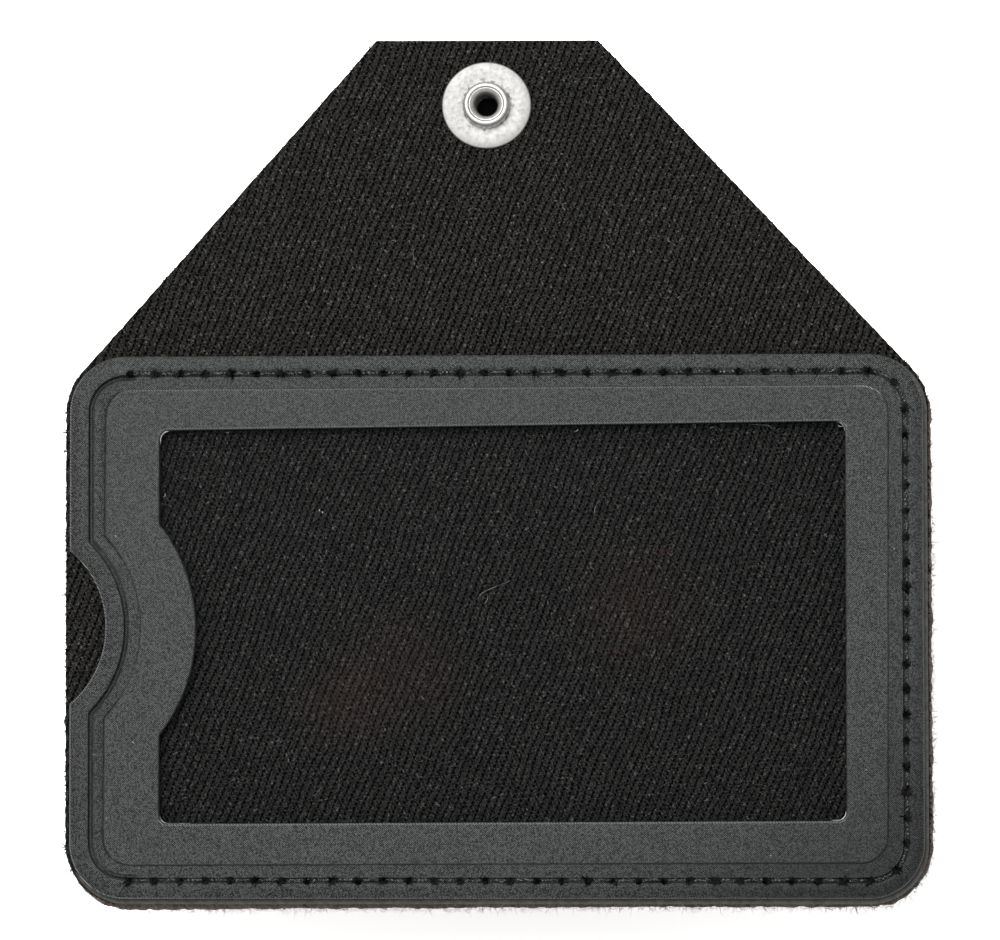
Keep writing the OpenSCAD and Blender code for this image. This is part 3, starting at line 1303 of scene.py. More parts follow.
    def body(self) -> bmesh.types.BMesh:
        """The moulding without its needle holes.

        Returns:
            A closed bmesh in millimetres.
        """
        rim, rise = self.rim_z, self.border_z - self.rim_z
        loft = Loft(self.outline(0.0).ring(self.under_z))
        for inset, drop, wear in self.shoulder:
            loft.to(self.outline(inset).ring(rim - drop), lambda p, w=wear: w * self._edge_wear_and_highlight(p))
        for inset, empty, drop, plain_drop, wear in self.groove:
            sewn = self.outline(inset).ring(rim - drop)
            plain = self.outline(empty).ring(rim - plain_drop)
            loft.to(mixed_ring(plain, sewn, self._sewn), wear)
        for off, share, left_share, wear in self.step:
            even = self._step(off, rim + rise * share)
            gutter = self._step(off, rim + rise * left_share)
            ring = mixed_ring(even, gutter, lambda p: ramp_between(p.x, *self.gutter_x))
            loft.to(ring, lambda p, w=wear: w * self._step_wear_and_highlight(p))
        start = self._step(self.step[-1][0], self.border_z)
        lip = self.opening(self.lip_start, self.border_z)
        for i in range(1, self.plateau_rings):
            share = i / self.plateau_rings
            loft.to([a.lerp(b, share) for a, b in zip(start, lip)])
        loft.to(lip)
        for inset, drop, wear in self.lip:
            ring = self.opening(inset, self.border_z - drop)
            loft.to(ring, lambda p, w=wear: w * self._lip_wear_and_highlight(p))
        loft.to(self.opening(0.0, self.film_z))
        loft.to(self.seat().ring(self.film_z))
        loft.to(self.seat().ring(self.under_z))
        loft.join()
        return loft.bm

    def build(self, holes: Sequence[Vector], finish: bpy.types.Material) -> bpy.types.Object:
        """Makes the frame and pierces it along the seam.

        Args:
            holes: The needle holes' centres.
            finish: The frame's material.

        Returns:
            The finished piece.
        """
        rng = random.Random(11)
        solid = close_mesh(self.body(), "frame_blank", None)
        cutters = bmesh.new()
        for hole in holes:
            shift = Vector((rng.uniform(-0.07, 0.07), rng.uniform(-0.07, 0.07), self.cutter_z))
            bmesh.ops.create_cone(
                cutters, cap_ends=True, segments=12, depth=2.0,
                radius1=self.hole_r * rng.uniform(0.7, 1.0),
                radius2=self.hole_r * rng.uniform(0.85, 1.15),
                matrix=Matrix.Translation(Vector((hole.x, hole.y, 0.0)) + shift),
            )
        piece = pierce(solid, cutters, "frame_moulding", 38.0)
        return settle(piece, Body.POCKET, finish, ["window_frame"])


@dataclass
class ClearWindow:
    """The film behind the window, and painted glints along its squeezed edge.

    Each glint is in the upper or lower, left or right corner, with its reach before and after
    the corner and its width.
    """

    frame: MouldedFrame
    bead_r: float = 0.085
    lift: float = 0.55
    glints: tuple[tuple[bool, bool, float, float, float], ...] = (
        (True, True, 1.4, 0.9, 1.5), (True, False, 1.0, 0.9, 0.40),
        (False, True, 0.6, 3.4, 0.42), (False, False, 1.0, 1.6, 0.75),
    )

    def build(self, film: bpy.types.Material, edge: bpy.types.Material) -> None:
        """Makes the film and the painted glints along its edge.

        Args:
            film: The film's material.
            edge: The material of the painted glints along its squeezed edge.
        """
        seat = self.frame.seat()
        low, high = self.frame.under_z, self.frame.film_z
        loft = Loft(seat.ring(low + 0.01)).to(seat.ring(high - 0.01)).cap()
        plate = close_mesh(loft.bm, "window_film", 30.0)
        settle(plate, Body.POCKET, film, ["clear_window"])
        # Painted glints: near-white strands along the film's edge and a curl in the upper right
        # corner.
        strands = Strands("window_film_edge", self.bead_r, 1)
        for upper, left, before, after, width in self.glints:
            points = self._corner(upper, left, before, after)
            middle = (len(points) - 1) / 2
            strands.add(points, [
                width * (1.0 - 0.7 * abs(i - middle) / middle) for i in range(len(points))
            ])
        strands.add(*self._loop())
        glint = strands.piece()
        settle(glint, Body.POCKET, edge)

    def _corner(self, upper: bool, left: bool, before: float, after: float) -> list[Vector]:
        """Points round one corner of the window, from its upright side to its level one.

        Args:
            upper: True for an upper corner.
            left: True for a left corner.
            before: How far the points reach along the upright side.
            after: How far they reach along the level side.

        Returns:
            The points.
        """
        r = self.frame.window_r
        inwards = Vector((1.0 if left else -1.0, -1.0 if upper else 1.0, 0.0))
        at = self.frame.corner(upper, left) + inwards * 0.07
        at.z = self.frame.film_z + self.lift
        middle = at + inwards * r
        points = [Vector((at.x, at.y + inwards.y * before, at.z))]
        for i in range(7):
            a = math.radians(90.0 * i / 6)
            out = Vector((-inwards.x * math.cos(a), -inwards.y * math.sin(a), 0.0))
            points.append(middle + out * r)
        points.append(Vector((at.x + inwards.x * after, at.y, at.z)))
        return points

    def _loop(self) -> tuple[list[Vector], list[float]]:
        """A painted glint in the window's upper right corner, drawn as a curl of film.

        Returns:
            Its points and its widths.
        """
        middle = self.frame.corner(True, False) + Vector((-0.48, -0.34, 0.0))
        middle.z = self.frame.film_z + 0.1
        turns = [math.radians(215 + 30 * k) for k in range(8)]
        points = [
            middle + Vector((0.34 * math.cos(a), 0.24 * math.sin(a), 0.02 * i))
            for i, a in enumerate(turns)
        ]
        return points, [0.28 - 0.02 * i for i in range(len(points))]


@dataclass
class Cloth:
    """The twill as cut: the pocket's back and the flap that tapers from its shoulders."""

    UV_SPAN = 100.0

    uv_corner: Span = (-50.0, -34.0)
    half_w: float = 48.2
    low: float = -30.62
    centre_x: float = 41.3
    centre_y: float = 24.0
    corner_r: float = 6.9
    tuck: float = 0.1
    tip_left: float = -13.4
    tip_right: float = 11.5
    tip_rise: float = 0.13
    tip_y: float = 65.58
    under_z: float = 0.7
    over_z: float = 1.6
    join_y: float = 33.2
    crease_low: float = 30.95
    crease_high: float = 35.45
    lock_z: float = 1.15
    bend_below: float = 0.6
    bend: float = 2.2
    row: float = 0.36
    least_row: float = 0.03
    corner_rows: int = 12
    columns: int = 132
    ragged_mm: float = 0.035
    rolled_mm: float = 0.16
    trim: float = 0.03
    sinks: Span = (0.1, -0.13)
    swell_mm: float = 0.09
    swell_per_mm: float = 0.06
    swell_run: Span = (2.0, 8.0)
    hole_r: float = 1.5
    hole_at: Span = (-1.0, 58.3)

    @property
    def shoulder(self) -> float:
        """How far the shoulders stand out from the corners' centres."""
        return self.corner_r * math.cos(math.pi / 4)

    def sides(self, y: float) -> tuple[float, float]:
        """The cloth's left and right edges at a height.

        Args:
            y: The place along the flap's axis.

        Returns:
            The left and the right x.
        """
        top = self.centre_y + self.shoulder
        if y > top:
            share = (y - top) / (self.tip_y - top)
            out = self.centre_x + self.shoulder
            return (-out + (self.tip_left + out) * share, out + (self.tip_right - out) * share)
        over = max(abs(y) - self.centre_y, 0.0)
        reach = self.centre_x + math.sqrt(max(self.corner_r**2 - over**2, 0.0))
        if over == 0.0:
            reach = self.half_w
        return (-reach, reach - self.tuck * ramp_between(y, 27.0, 22.0))

    def rows(self, low: float, high: float) -> list[float]:
        """The heights of a panel's rows, closer together in the round corners.

        Args:
            low: The lowest.
            high: The highest.

        Returns:
            The heights in order.
        """
        marks = {round(low, 4), round(high, 4)}
        steps = max(1, round((high - low) / self.row))
        marks |= {round(low + (high - low) * i / steps, 4) for i in range(steps + 1)}
        for i in range(1, self.corner_rows):
            y = -self.centre_y - self.corner_r * math.sin(math.pi / 2 * i / self.corner_rows)
            if low < y < high:
                marks.add(round(y, 4))
        ordered = sorted(marks)
        kept = [ordered[0]]
        for y in ordered[1:-1]:
            if y - kept[-1] > self.least_row and ordered[-1] - y > self.least_row:
                kept.append(y)
        return kept + [ordered[-1]]

    def panel(
        self, name: str, low: float, high: float, seed: int, cut_low: bool
    ) -> bpy.types.Object:
        """One panel of the cloth between two heights, with a soft ragged cut edge.

        Args:
            name: The piece's name.
            low: Its lower edge.
            high: Its upper edge.
            seed: The seed of its raggedness.
            cut_low: True if its lower edge is the cut one, False if its upper edge is.

        Returns:
            The panel, with its UV map.
        """
        rng = random.Random(seed)
        heights = self.rows(low, high)
        tall, wide = len(heights) - 1, self.columns
        bm = bmesh.new()
        bmesh.ops.create_grid(bm, x_segments=wide, y_segments=tall, size=0.5)
        under = {v: self._grid_spot(v, wide, tall) for v in bm.verts}
        grown = bmesh.ops.extrude_face_region(bm, geom=bm.faces[:])["geom"]
        over = {
            v: self._grid_spot(v, wide, tall) for v in grown if isinstance(v, bmesh.types.BMVert)
        }
        ragged = {
            (layer, side, j): rng.gauss(0.0, self.ragged_mm)
            for layer in (0, 1) for side in (0, 1) for j in range(tall + 1)
        }
        cut_row = 0 if cut_low else tall
        for layer, places in enumerate((under, over)):
            for v, (i, j) in places.items():
                v.co = self._spot(i, j, heights, layer, ragged, cut_row, rng)
        layer_uv = bm.loops.layers.uv.new("cloth")
        left, low_end = self.uv_corner
        for face in bm.faces:
            for loop in face.loops:
                co = loop.vert.co
                loop[layer_uv].uv = ((co.x - left) / self.UV_SPAN, (co.y - low_end) / self.UV_SPAN)
        return close_mesh(bm, name, 55.0)

    @staticmethod
    def _grid_spot(vert: bmesh.types.BMVert, wide: int, tall: int) -> tuple[int, int]:
        """The column and row of a vertex in a unit grid about the origin."""
        return (round((vert.co.x + 0.5) * wide), round((vert.co.y + 0.5) * tall))

    def _spot(
        self,
        i: int,
        j: int,
        heights: Sequence[float],
        layer: int,
        ragged: Mapping[tuple[int, int, int], float],
        cut_row: int,
        rng: random.Random,
    ) -> Vector:
        """Where a grid point of a panel goes.

        Args:
            i: Its column.
            j: Its row.
            heights: The rows' heights.
            layer: 0 for the under side and 1 for the upper one.
            ragged: How far the cut sides stray, by layer, side and row.
            cut_row: The row along the cut edge.
            rng: The seeded source of chance.

        Returns:
            The point.
        """
        y = heights[j]
        left, right = self.sides(y)
        wide = self.columns
        if i == 0:
            x = left + self.trim + ragged[layer, 0, j]
        elif i == wide:
            x = right - self.trim - ragged[layer, 1, j]
        else:
            rolled = self.rolled_mm
            x = left + rolled + (right - left - 2 * rolled) * (i - 1) / (wide - 2)
        z = self.over_z if layer else self.under_z
        if i in (0, wide) or j == cut_row:
            z += self.sinks[layer]
        if j == cut_row:
            rough = self.ragged_mm * (1.0 if cut_row == 0 else 0.3)
            y += rng.gauss(0.0, rough) + (self.trim if cut_row == 0 else -self.trim)
        high = ramp_between(y, self.tip_y - 4.0, self.tip_y)
        y += self.tip_rise * high * ramp_between(x, self.tip_right, self.tip_left)
        after, run = self.swell_run
        if y > self.crease_high + after:
            rate = self.swell_per_mm
            swell = noise.noise(Vector((x * rate, y * rate, 4.0)))
            z += self.swell_mm * swell * min((y - self.crease_high - after) / run, 1.0)
        return Vector((x, y, z))

    def area(self, low: float, high: float) -> float:
        """A panel's flat area.

        Args:
            low: Its lower edge.
            high: Its upper edge.

        Returns:
            The area in square metres.
        """
        steps = 400
        total = 0.0
        for i in range(steps):
            left, right = self.sides(low + (high - low) * (i + 0.5) / steps)
            total += (right - left) * (high - low) / steps
        return total * MM * MM

    def build(self, finish: bpy.types.Material) -> None:
        """Makes the pocket's back and the flap, which meet in the middle of the fold.

        Args:
            finish: The twill.
        """
        back = self.panel("twill_back", self.low, self.join_y, 31, True)
        blank = self.panel("flap_blank", self.join_y, self.tip_y, 32, False)
        punch = bmesh.new()
        bmesh.ops.create_cone(
            punch, cap_ends=True, segments=48, radius1=self.hole_r, radius2=self.hole_r,
            depth=4.0, matrix=Matrix.Translation((*self.hole_at, self.lock_z)),
        )
        flap = pierce(blank, punch, "twill_flap", 55.0)
        for piece in (back, flap):
            piece.data.materials.append(finish)
        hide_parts("pocket_back", "fold_strip")
        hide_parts("flap_panel", "fold_strip")
        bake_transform(back)
        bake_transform(flap)
        (self.join_y - self.low) * MM
        self.area(self.low, self.join_y)
        left, right = self.sides(self.join_y)
        (right - left) * MM
        self.area(self.join_y, self.tip_y)
        for piece in (back, flap):
            LOG.info("%s: %d faces", piece.name, len(piece.data.polygons))

    def edge_points(self, step: float) -> list[tuple[Vector, Vector]]:
        """Points along the cut edge with the way out at each.

        Args:
            step: The distance between them.

        Returns:
            Pairs of a point at mid-cloth and a unit vector.
        """
        z = (self.under_z + self.over_z) / 2
        line: list[Vector] = []
        for y in self.rows(self.low, self.tip_y):
            line.append(Vector((self.sides(y)[1], y, z)))
        for y in reversed(self.rows(self.low, self.tip_y)):
            line.append(Vector((self.sides(y)[0], y, z)))
        line.append(line[0].copy())
        middle = Vector((0.0, 10.0, z))
        found: list[tuple[Vector, Vector]] = []
        spare = 0.0
        for a, b in zip(line, line[1:]):
            gap = (b - a).length
            if gap < 1e-9:
                continue
            way = (b - a).normalized()
            out = Vector((way.y, -way.x, 0.0))
            if out.dot(a - middle) < 0:
                out = -out
            while spare < gap:
                found.append((a + way * spare, out))
                spare += step
            spare -= gap
        return found


@dataclass
class Fringe:
    """Yarn ends and loose fibres along the cut edges of the twill."""

    cloth: Cloth
    step: float = 0.34
    yarn_r: float = 0.08
    loose: float = 0.14
    clumps: float = 0.022
    clump_fibres: int = 5
    clump_rise: float = 0.2
    crease_clear: Span = (1.2, 2.4)
    tip_clear: float = 0.3
    worn_off: float = 0.6

    def build(self, finish: bpy.types.Material) -> None:
        """Makes the fringe of the pocket and of the flap.

        Args:
            finish: The material of black fibres.
        """
        rng = random.Random(41)
        pocket = Strands("pocket_fringe", self.yarn_r)
        flap = Strands("flap_fringe", self.yarn_r)
        below, above = self.crease_clear
        for spot, out in self.cloth.edge_points(self.step):
            if self.cloth.crease_low - below < spot.y < self.cloth.crease_high + above:
                continue
            if spot.y > self.cloth.tip_y - self.tip_clear:
                continue
            if spot.y > self.cloth.crease_high and rng.random() < self.worn_off:
                continue
            bundle = flap if spot.y > self.cloth.crease_high else pocket
            self._tuft(rng, bundle, spot, out)
        settle(pocket.piece(), Body.POCKET, finish)
        settle(flap.piece(), Body.FLAP, finish)

    def _tuft(self, rng: random.Random, bundle: Strands, spot: Vector, out: Vector) -> None:
        """Adds the fibres at one place of the edge.

        Args:
            rng: The seeded source of chance.
            bundle: The fringe that they join.
            spot: The place.
            out: The way out of the cloth there.
        """
        for _ in range(rng.choice((1, 2, 2, 3))):
            z = rng.uniform(-0.32, 0.36)
            start = spot - out * 0.14 + Vector(
                (rng.uniform(-0.15, 0.15), rng.uniform(-0.15, 0.15), z)
            )
            way = out + stray(rng, 0.7, -0.35, 0.3)
            if rng.random() < self.loose:
                length, width = rng.uniform(0.22, 0.45), rng.uniform(0.14, 0.26)
            else:
                length, width = rng.uniform(0.10, 0.22), rng.uniform(0.6, 1.1)
            points = curl(rng, start, way, length, 0.45)
            bundle.fibre(points, width, 0.8, 0.35)
        if rng.random() < self.clumps:
            for _ in range(self.clump_fibres):
                way = out + Vector((rng.uniform(-1, 1), rng.uniform(-1, 1), self.clump_rise))
                start = spot + Vector((0.0, 0.0, rng.uniform(-0.2, 0.3)))
                width = rng.uniform(0.35, 0.8)
                points = curl(rng, start, way, rng.uniform(0.2, 0.42), 0.8)
                bundle.fibre(points, width, 0.9, 0.5)


@dataclass
class FeltLining:
    """The napped backing, cut by hand and sewn on a little low and to the right.

    The channel's rings hold a distance from its side and a share of its depth, and the edge's
    rings an inset and a height.
    """

    frame: MouldedFrame
    margin: float = 0.75
    slip: Span = (0.26, -0.27)
    sag: float = 0.3
    sag_x: Span = (15.0, -38.0)
    sag_y: Span = (-20.0, -29.0)
    top_y: float = 30.2
    least_r: float = 1.0
    seam_inset: float = 2.0
    channel_half: float = 0.33
    channel_depth: float = 0.45
    channel: tuple[Span, ...] = ((0.1, 0.0), (-0.08, 0.55), (-0.2, 1.0))
    middle_inset: float = 6.0
    mouth_x: float = -41.2
    mouth_run: float = 0.7
    edge: tuple[Span, ...] = (
        (0.5, 0.0), (0.14, 0.07), (0.0, 0.24), (0.0, 0.46), (0.1, 0.66), (0.5, 0.7)
    )
    rough_inset: float = 0.3
    wave_mm: float = 0.16
    wave_per_mm: float = 0.9
    ragged_mm: float = 0.04
    trim: float = 0.06
    hairs: tuple[int, ...] = (4, 5, 6, 7)
    hair_r: float = 0.032
    hair_inset: float = 0.08
    lowest_hair: float = 0.03
    upward: float = 0.35

    def _plain(self, inset: float) -> Outline:
        """The lining's outline before it sags.

        Args:
            inset: How far it is drawn in.

        Returns:
            The outline.
        """
        x = self.frame.width / 2 + self.margin - inset
        y = self.frame.height / 2 + self.margin - inset
        dx, dy = self.slip
        r = max(self.frame.corner_r + self.margin - inset, self.least_r)
        top = min(dy + y, self.top_y - inset)
        return Outline(dx - x, dx + x, dy - y, top, r, **FINE_STEPS)

    def _edge(self, inset: float, z: float) -> list[Vector]:
        """The lining's outline, which hangs lower towards its lower left corner.

        Args:
            inset: How far it is drawn in.
            z: Its height.

        Returns:
            The ring.
        """
        ring = self._plain(inset).ring(z)
        for p in ring:
            p.y -= self.sag * ramp_between(p.x, *self.sag_x) * ramp_between(p.y, *self.sag_y)
        return ring

    def _seam(self, inset: float) -> Outline:
        """A line beside the seam.

        Args:
            inset: Its distance from the frame's edge.

        Returns:
            The outline.
        """
        x, y = self.frame.width / 2 - inset, self.frame.height / 2 - inset
        return Outline(-x, x, -y, y, max(self.frame.corner_r - inset, self.least_r), **FINE_STEPS)

    def build(self, finish: bpy.types.Material, fuzz: bpy.types.Material) -> None:
        """Makes the backing with its seam pressed in, and the fuzz round its edge.

        Args:
            finish: The felt.
            fuzz: The material of its loose fibres.
        """
        rng = random.Random(53)
        seam, half, deep = self.seam_inset, self.channel_half, self.channel_depth
        loft = Loft(self._seam(seam + half + self.middle_inset).ring(0.0))
        inner = [(half + off, share) for off, share in self.channel]
        outer = [(-off, share) for off, share in reversed(inner)]
        for off, share in inner + outer:
            ring = self._seam(seam + off).ring(0.0)
            for p in ring:
                fade = min(max((p.x - self.mouth_x) / self.mouth_run + 0.5, 0.0), 1.0)
                p.z = deep * share * fade
            loft.to(ring)
        for inset, z in self.edge:
            ring = self._edge(inset, z)
            loft.to(self._rough(ring, rng) if inset < self.rough_inset else ring)
        loft.cap()
        plate = close_mesh(loft.bm, "felt_backing", 50.0)
        settle(plate, Body.POCKET, finish, ["rear_lining"])
        self._fuzz(rng, fuzz)

    def _rough(self, ring: list[Vector], rng: random.Random) -> list[Vector]:
        """The ring with a ragged outer edge.

        Args:
            ring: The even ring.
            rng: The seeded source of chance.

        Returns:
            The new ring.
        """
        moved = []
        for i, p in enumerate(ring):
            spot = Vector((p.x * self.wave_per_mm, p.y * self.wave_per_mm, 2.0))
            wave = noise.noise(spot) * self.wave_mm
            shift = wave + rng.gauss(0.0, self.ragged_mm) - self.trim
            moved.append(p + outward(ring, i) * shift)
        return moved

    def _fuzz(self, rng: random.Random, finish: bpy.types.Material) -> None:
        """Makes the fibres that stand out of the backing's edge.

        Args:
            rng: The seeded source of chance.
            finish: Their material.
        """
        strands = Strands("felt_fuzz", self.hair_r)
        ring = self._edge(self.hair_inset, 0.0)
        for i, p in enumerate(ring):
            if p.y > self.top_y - 1.0:
                continue
            out = outward(ring, i)
            for _ in range(rng.choice(self.hairs)):
                z = rng.uniform(0.08, 0.66)
                start = p + Vector((rng.uniform(-0.2, 0.2), rng.uniform(-0.2, 0.2), z))
                way = out + stray(rng, 1.0, -0.1, 0.4)
                length = rng.uniform(0.22, 0.70)
                if rng.random() < self.upward:
                    way = Vector((rng.uniform(-0.5, 0.5), rng.uniform(-0.5, 0.5), 1.0)) - out * 0.5
                    length = rng.uniform(0.4, 0.9)
                points = curl(rng, start, way, length, 0.5)
                for q in points:
                    q.z = max(q.z, self.lowest_hair)
                strands.fibre(points, rng.uniform(0.35, 0.85), 0.8, 0.4)
        settle(strands.piece(), Body.POCKET, finish)


@dataclass
class Seam:
    """The lockstitch seam: its needle holes, both twisted threads and the fibres it pulled up."""

    half_x: float = 45.5
    half_y: float = 28.2
    bend_r: float = 4.2
    lead: float = -0.5
    run_stitches: int = 29
    bend_stitches: int = 2
    side_stitches: int = 17
    thread_r: float = 0.24
    twist_mm: float = 0.95
    leg_inset: float = 0.25
    upward: float = 0.12
    needle_z: float = 3.53
    bobbin_z: float = 0.24
    samples: int = 17
    loose_mm: float = 0.03
    slack: Span = (-0.03, 0.06)
    dip_mm: float = 0.85
    dip_run: float = 0.2
    fringe_r: float = 0.065
    fringe_reach: Span = (0.8, 1.35)
    fringe_fibres: tuple[int, int] = (20, 30)

    def holes(self) -> list[Vector]:
        """The needle holes in sewing order.

        Returns:
            Them along the top, down the side and back below.
        """
        cx, cy = self.half_x - self.bend_r, self.half_y - self.bend_r
        run = 2 * cx + self.lead
        upper = [
            Vector((run * i / self.run_stitches - self.lead - cx, self.half_y, 0.0))
            for i in range(self.run_stitches + 1)
        ]
        for i in range(1, self.bend_stitches + 1):
            a = math.radians(90 * (1 - i / self.bend_stitches))
            upper.append(Vector((cx + self.bend_r * math.cos(a), cy + self.bend_r * math.sin(a), 0.0)))
        side = [
            Vector((self.half_x, cy - 2 * cy * i / self.side_stitches, 0.0))
            for i in range(1, self.side_stitches)
        ]
        lower = [Vector((p.x, -p.y, 0.0)) for p in reversed(upper)]
        return upper + side + lower

    def _along(self, a: Vector, b: Vector, share: float) -> Vector:
        """A point of a stitch, which follows the bends.

        Args:
            a: The hole that it comes from.
            b: The hole that it goes to.
            share: How far along it the point is, from 0 to 1.

        Returns:
            The point.
        """
        cx, cy = self.half_x - self.bend_r, self.half_y - self.bend_r
        for way in (1, -1):
            middle = Vector((cx, way * cy, 0.0))
            if min(a.x, b.x) >= cx - 1e-6 and min(way * a.y, way * b.y) >= cy - 1e-6:
                start = math.atan2(a.y - middle.y, a.x - middle.x)
                end = math.atan2(b.y - middle.y, b.x - middle.x)
                turn = start + (end - start) * share
                return middle + Vector((math.cos(turn), math.sin(turn), 0.0)) * self.bend_r
        return a.lerp(b, share)

    def thread(self, name: str, run_z: float, way: float, seed: int) -> bpy.types.Object:
        """One thread of the seam as pairs of twisted plies.

        Args:
            name: The piece's name.
            run_z: The height of its runs.
            way: -1 if its ends go down into the holes, 1 if they go up.
            seed: The seed of its looseness.

        Returns:
            The thread.
        """
        rng = random.Random(seed)
        strands = Strands(name, self.thread_r * 0.55, 1)
        holes = self.holes()
        for a, b in zip(holes, holes[1:]):
            length = (b - a).length
            inset = self.leg_inset / length
            phase = rng.uniform(0, math.tau)
            lift = rng.uniform(*self.slack)
            sway = rng.gauss(0.0, self.loose_mm)
            middle: list[Vector] = []
            for i in range(self.samples):
                share = inset + (1 - 2 * inset) * i / (self.samples - 1)
                p = self._along(a, b, share)
                ahead = self._along(a, b, min(share + 0.02, 1.0)) - p
                side = Vector((-ahead.y, ahead.x, 0.0)).normalized()
                near = min(share - inset, 1 - inset - share) * length
                dip = self.dip_mm * math.exp(-((near / self.dip_run) ** 2))
                z = run_z + way * dip - way * lift * math.sin(math.pi * share)
                shift = side * sway + Vector((0.0, self.upward, 0.0))
                p = p + shift * math.sin(math.pi * share)
                middle.append(Vector((p.x, p.y, z)))
            self._plies(strands, middle, phase)
        return strands.piece()

    def _plies(self, strands: Strands, middle: Sequence[Vector], phase: float) -> None:
        """Adds two plies that turn about a line.

        Args:
            strands: The thread that they join.
            middle: The line.
            phase: The angle that the turns start at.
        """
        for ply in (0, 1):
            run = 0.0
            points = []
            for i, p in enumerate(middle):
                if i:
                    run += (p - middle[i - 1]).length
                ahead = (middle[min(i + 1, len(middle) - 1)] - middle[max(i - 1, 0)]).normalized()
                side = Vector((-ahead.y, ahead.x, 0.0))
                side = side.normalized() if side.length > 1e-6 else Vector((1.0, 0.0, 0.0))
                up = ahead.cross(side)
                a = phase + math.tau * run / self.twist_mm + math.pi * ply
                points.append(p + (side * math.cos(a) + up * math.sin(a)) * self.thread_r * 0.5)
            strands.add(points)

    def build(self, thread: bpy.types.Material, fuzz: bpy.types.Material) -> None:
        """Makes both threads and the tufts at the needle holes.

        Args:
            thread: The thread's material.
            fuzz: The material of black fibres.
        """
        needle = self.thread("needle_stitches", self.needle_z, -1.0, 61)
        settle(needle, Body.POCKET, thread, ["needle_thread"])
        bobbin = self.thread("bobbin_stitches", self.bobbin_z, 1.0, 62)
        settle(bobbin, Body.POCKET, thread, ["bobbin_thread"])
        rng = random.Random(63)
        tufts = Strands("needle_hole_tufts", self.fringe_r)
        for hole in self.holes():
            reach = rng.uniform(*self.fringe_reach)
            for _ in range(rng.randint(*self.fringe_fibres)):
                self._tuft(rng, tufts, hole, reach)
        settle(tufts.piece(), Body.POCKET, fuzz)

    @staticmethod
    def _tuft(rng: random.Random, tufts: Strands, hole: Vector, scale: float) -> None:
        """Adds one yarn end that the needle pulled up, laid over the hole's edge.

        Args:
            rng: The seeded source of chance.
            tufts: The bundle that it joins.
            hole: The needle hole.
            scale: The reach of the hole's yarn ends.
        """
        a = rng.uniform(0, math.tau)
        out = Vector((math.cos(a), math.sin(a), 0.0))
        fine = rng.random() < 0.3
        reach = scale * (rng.uniform(0.45, 0.95) if fine else rng.uniform(0.25, 0.60))
        width = rng.uniform(0.25, 0.5) if fine else rng.uniform(0.9, 1.6)
        side = Vector((-out.y, out.x, 0.0)) * rng.uniform(-0.2, 0.2)
        points = [
            hole + out * 0.05 + Vector((0.0, 0.0, 3.45)),
            hole + out * rng.uniform(0.08, 0.20) + Vector((0.0, 0.0, rng.uniform(3.72, 3.86))),
            hole + out * reach * 0.75 + side + Vector((0.0, 0.0, rng.uniform(3.84, 4.0))),
            hole + out * reach + side * 2 + Vector((0.0, 0.0, rng.uniform(3.80, 3.98))),
        ]
        tufts.fibre(points, width, 0.8, 0.3)


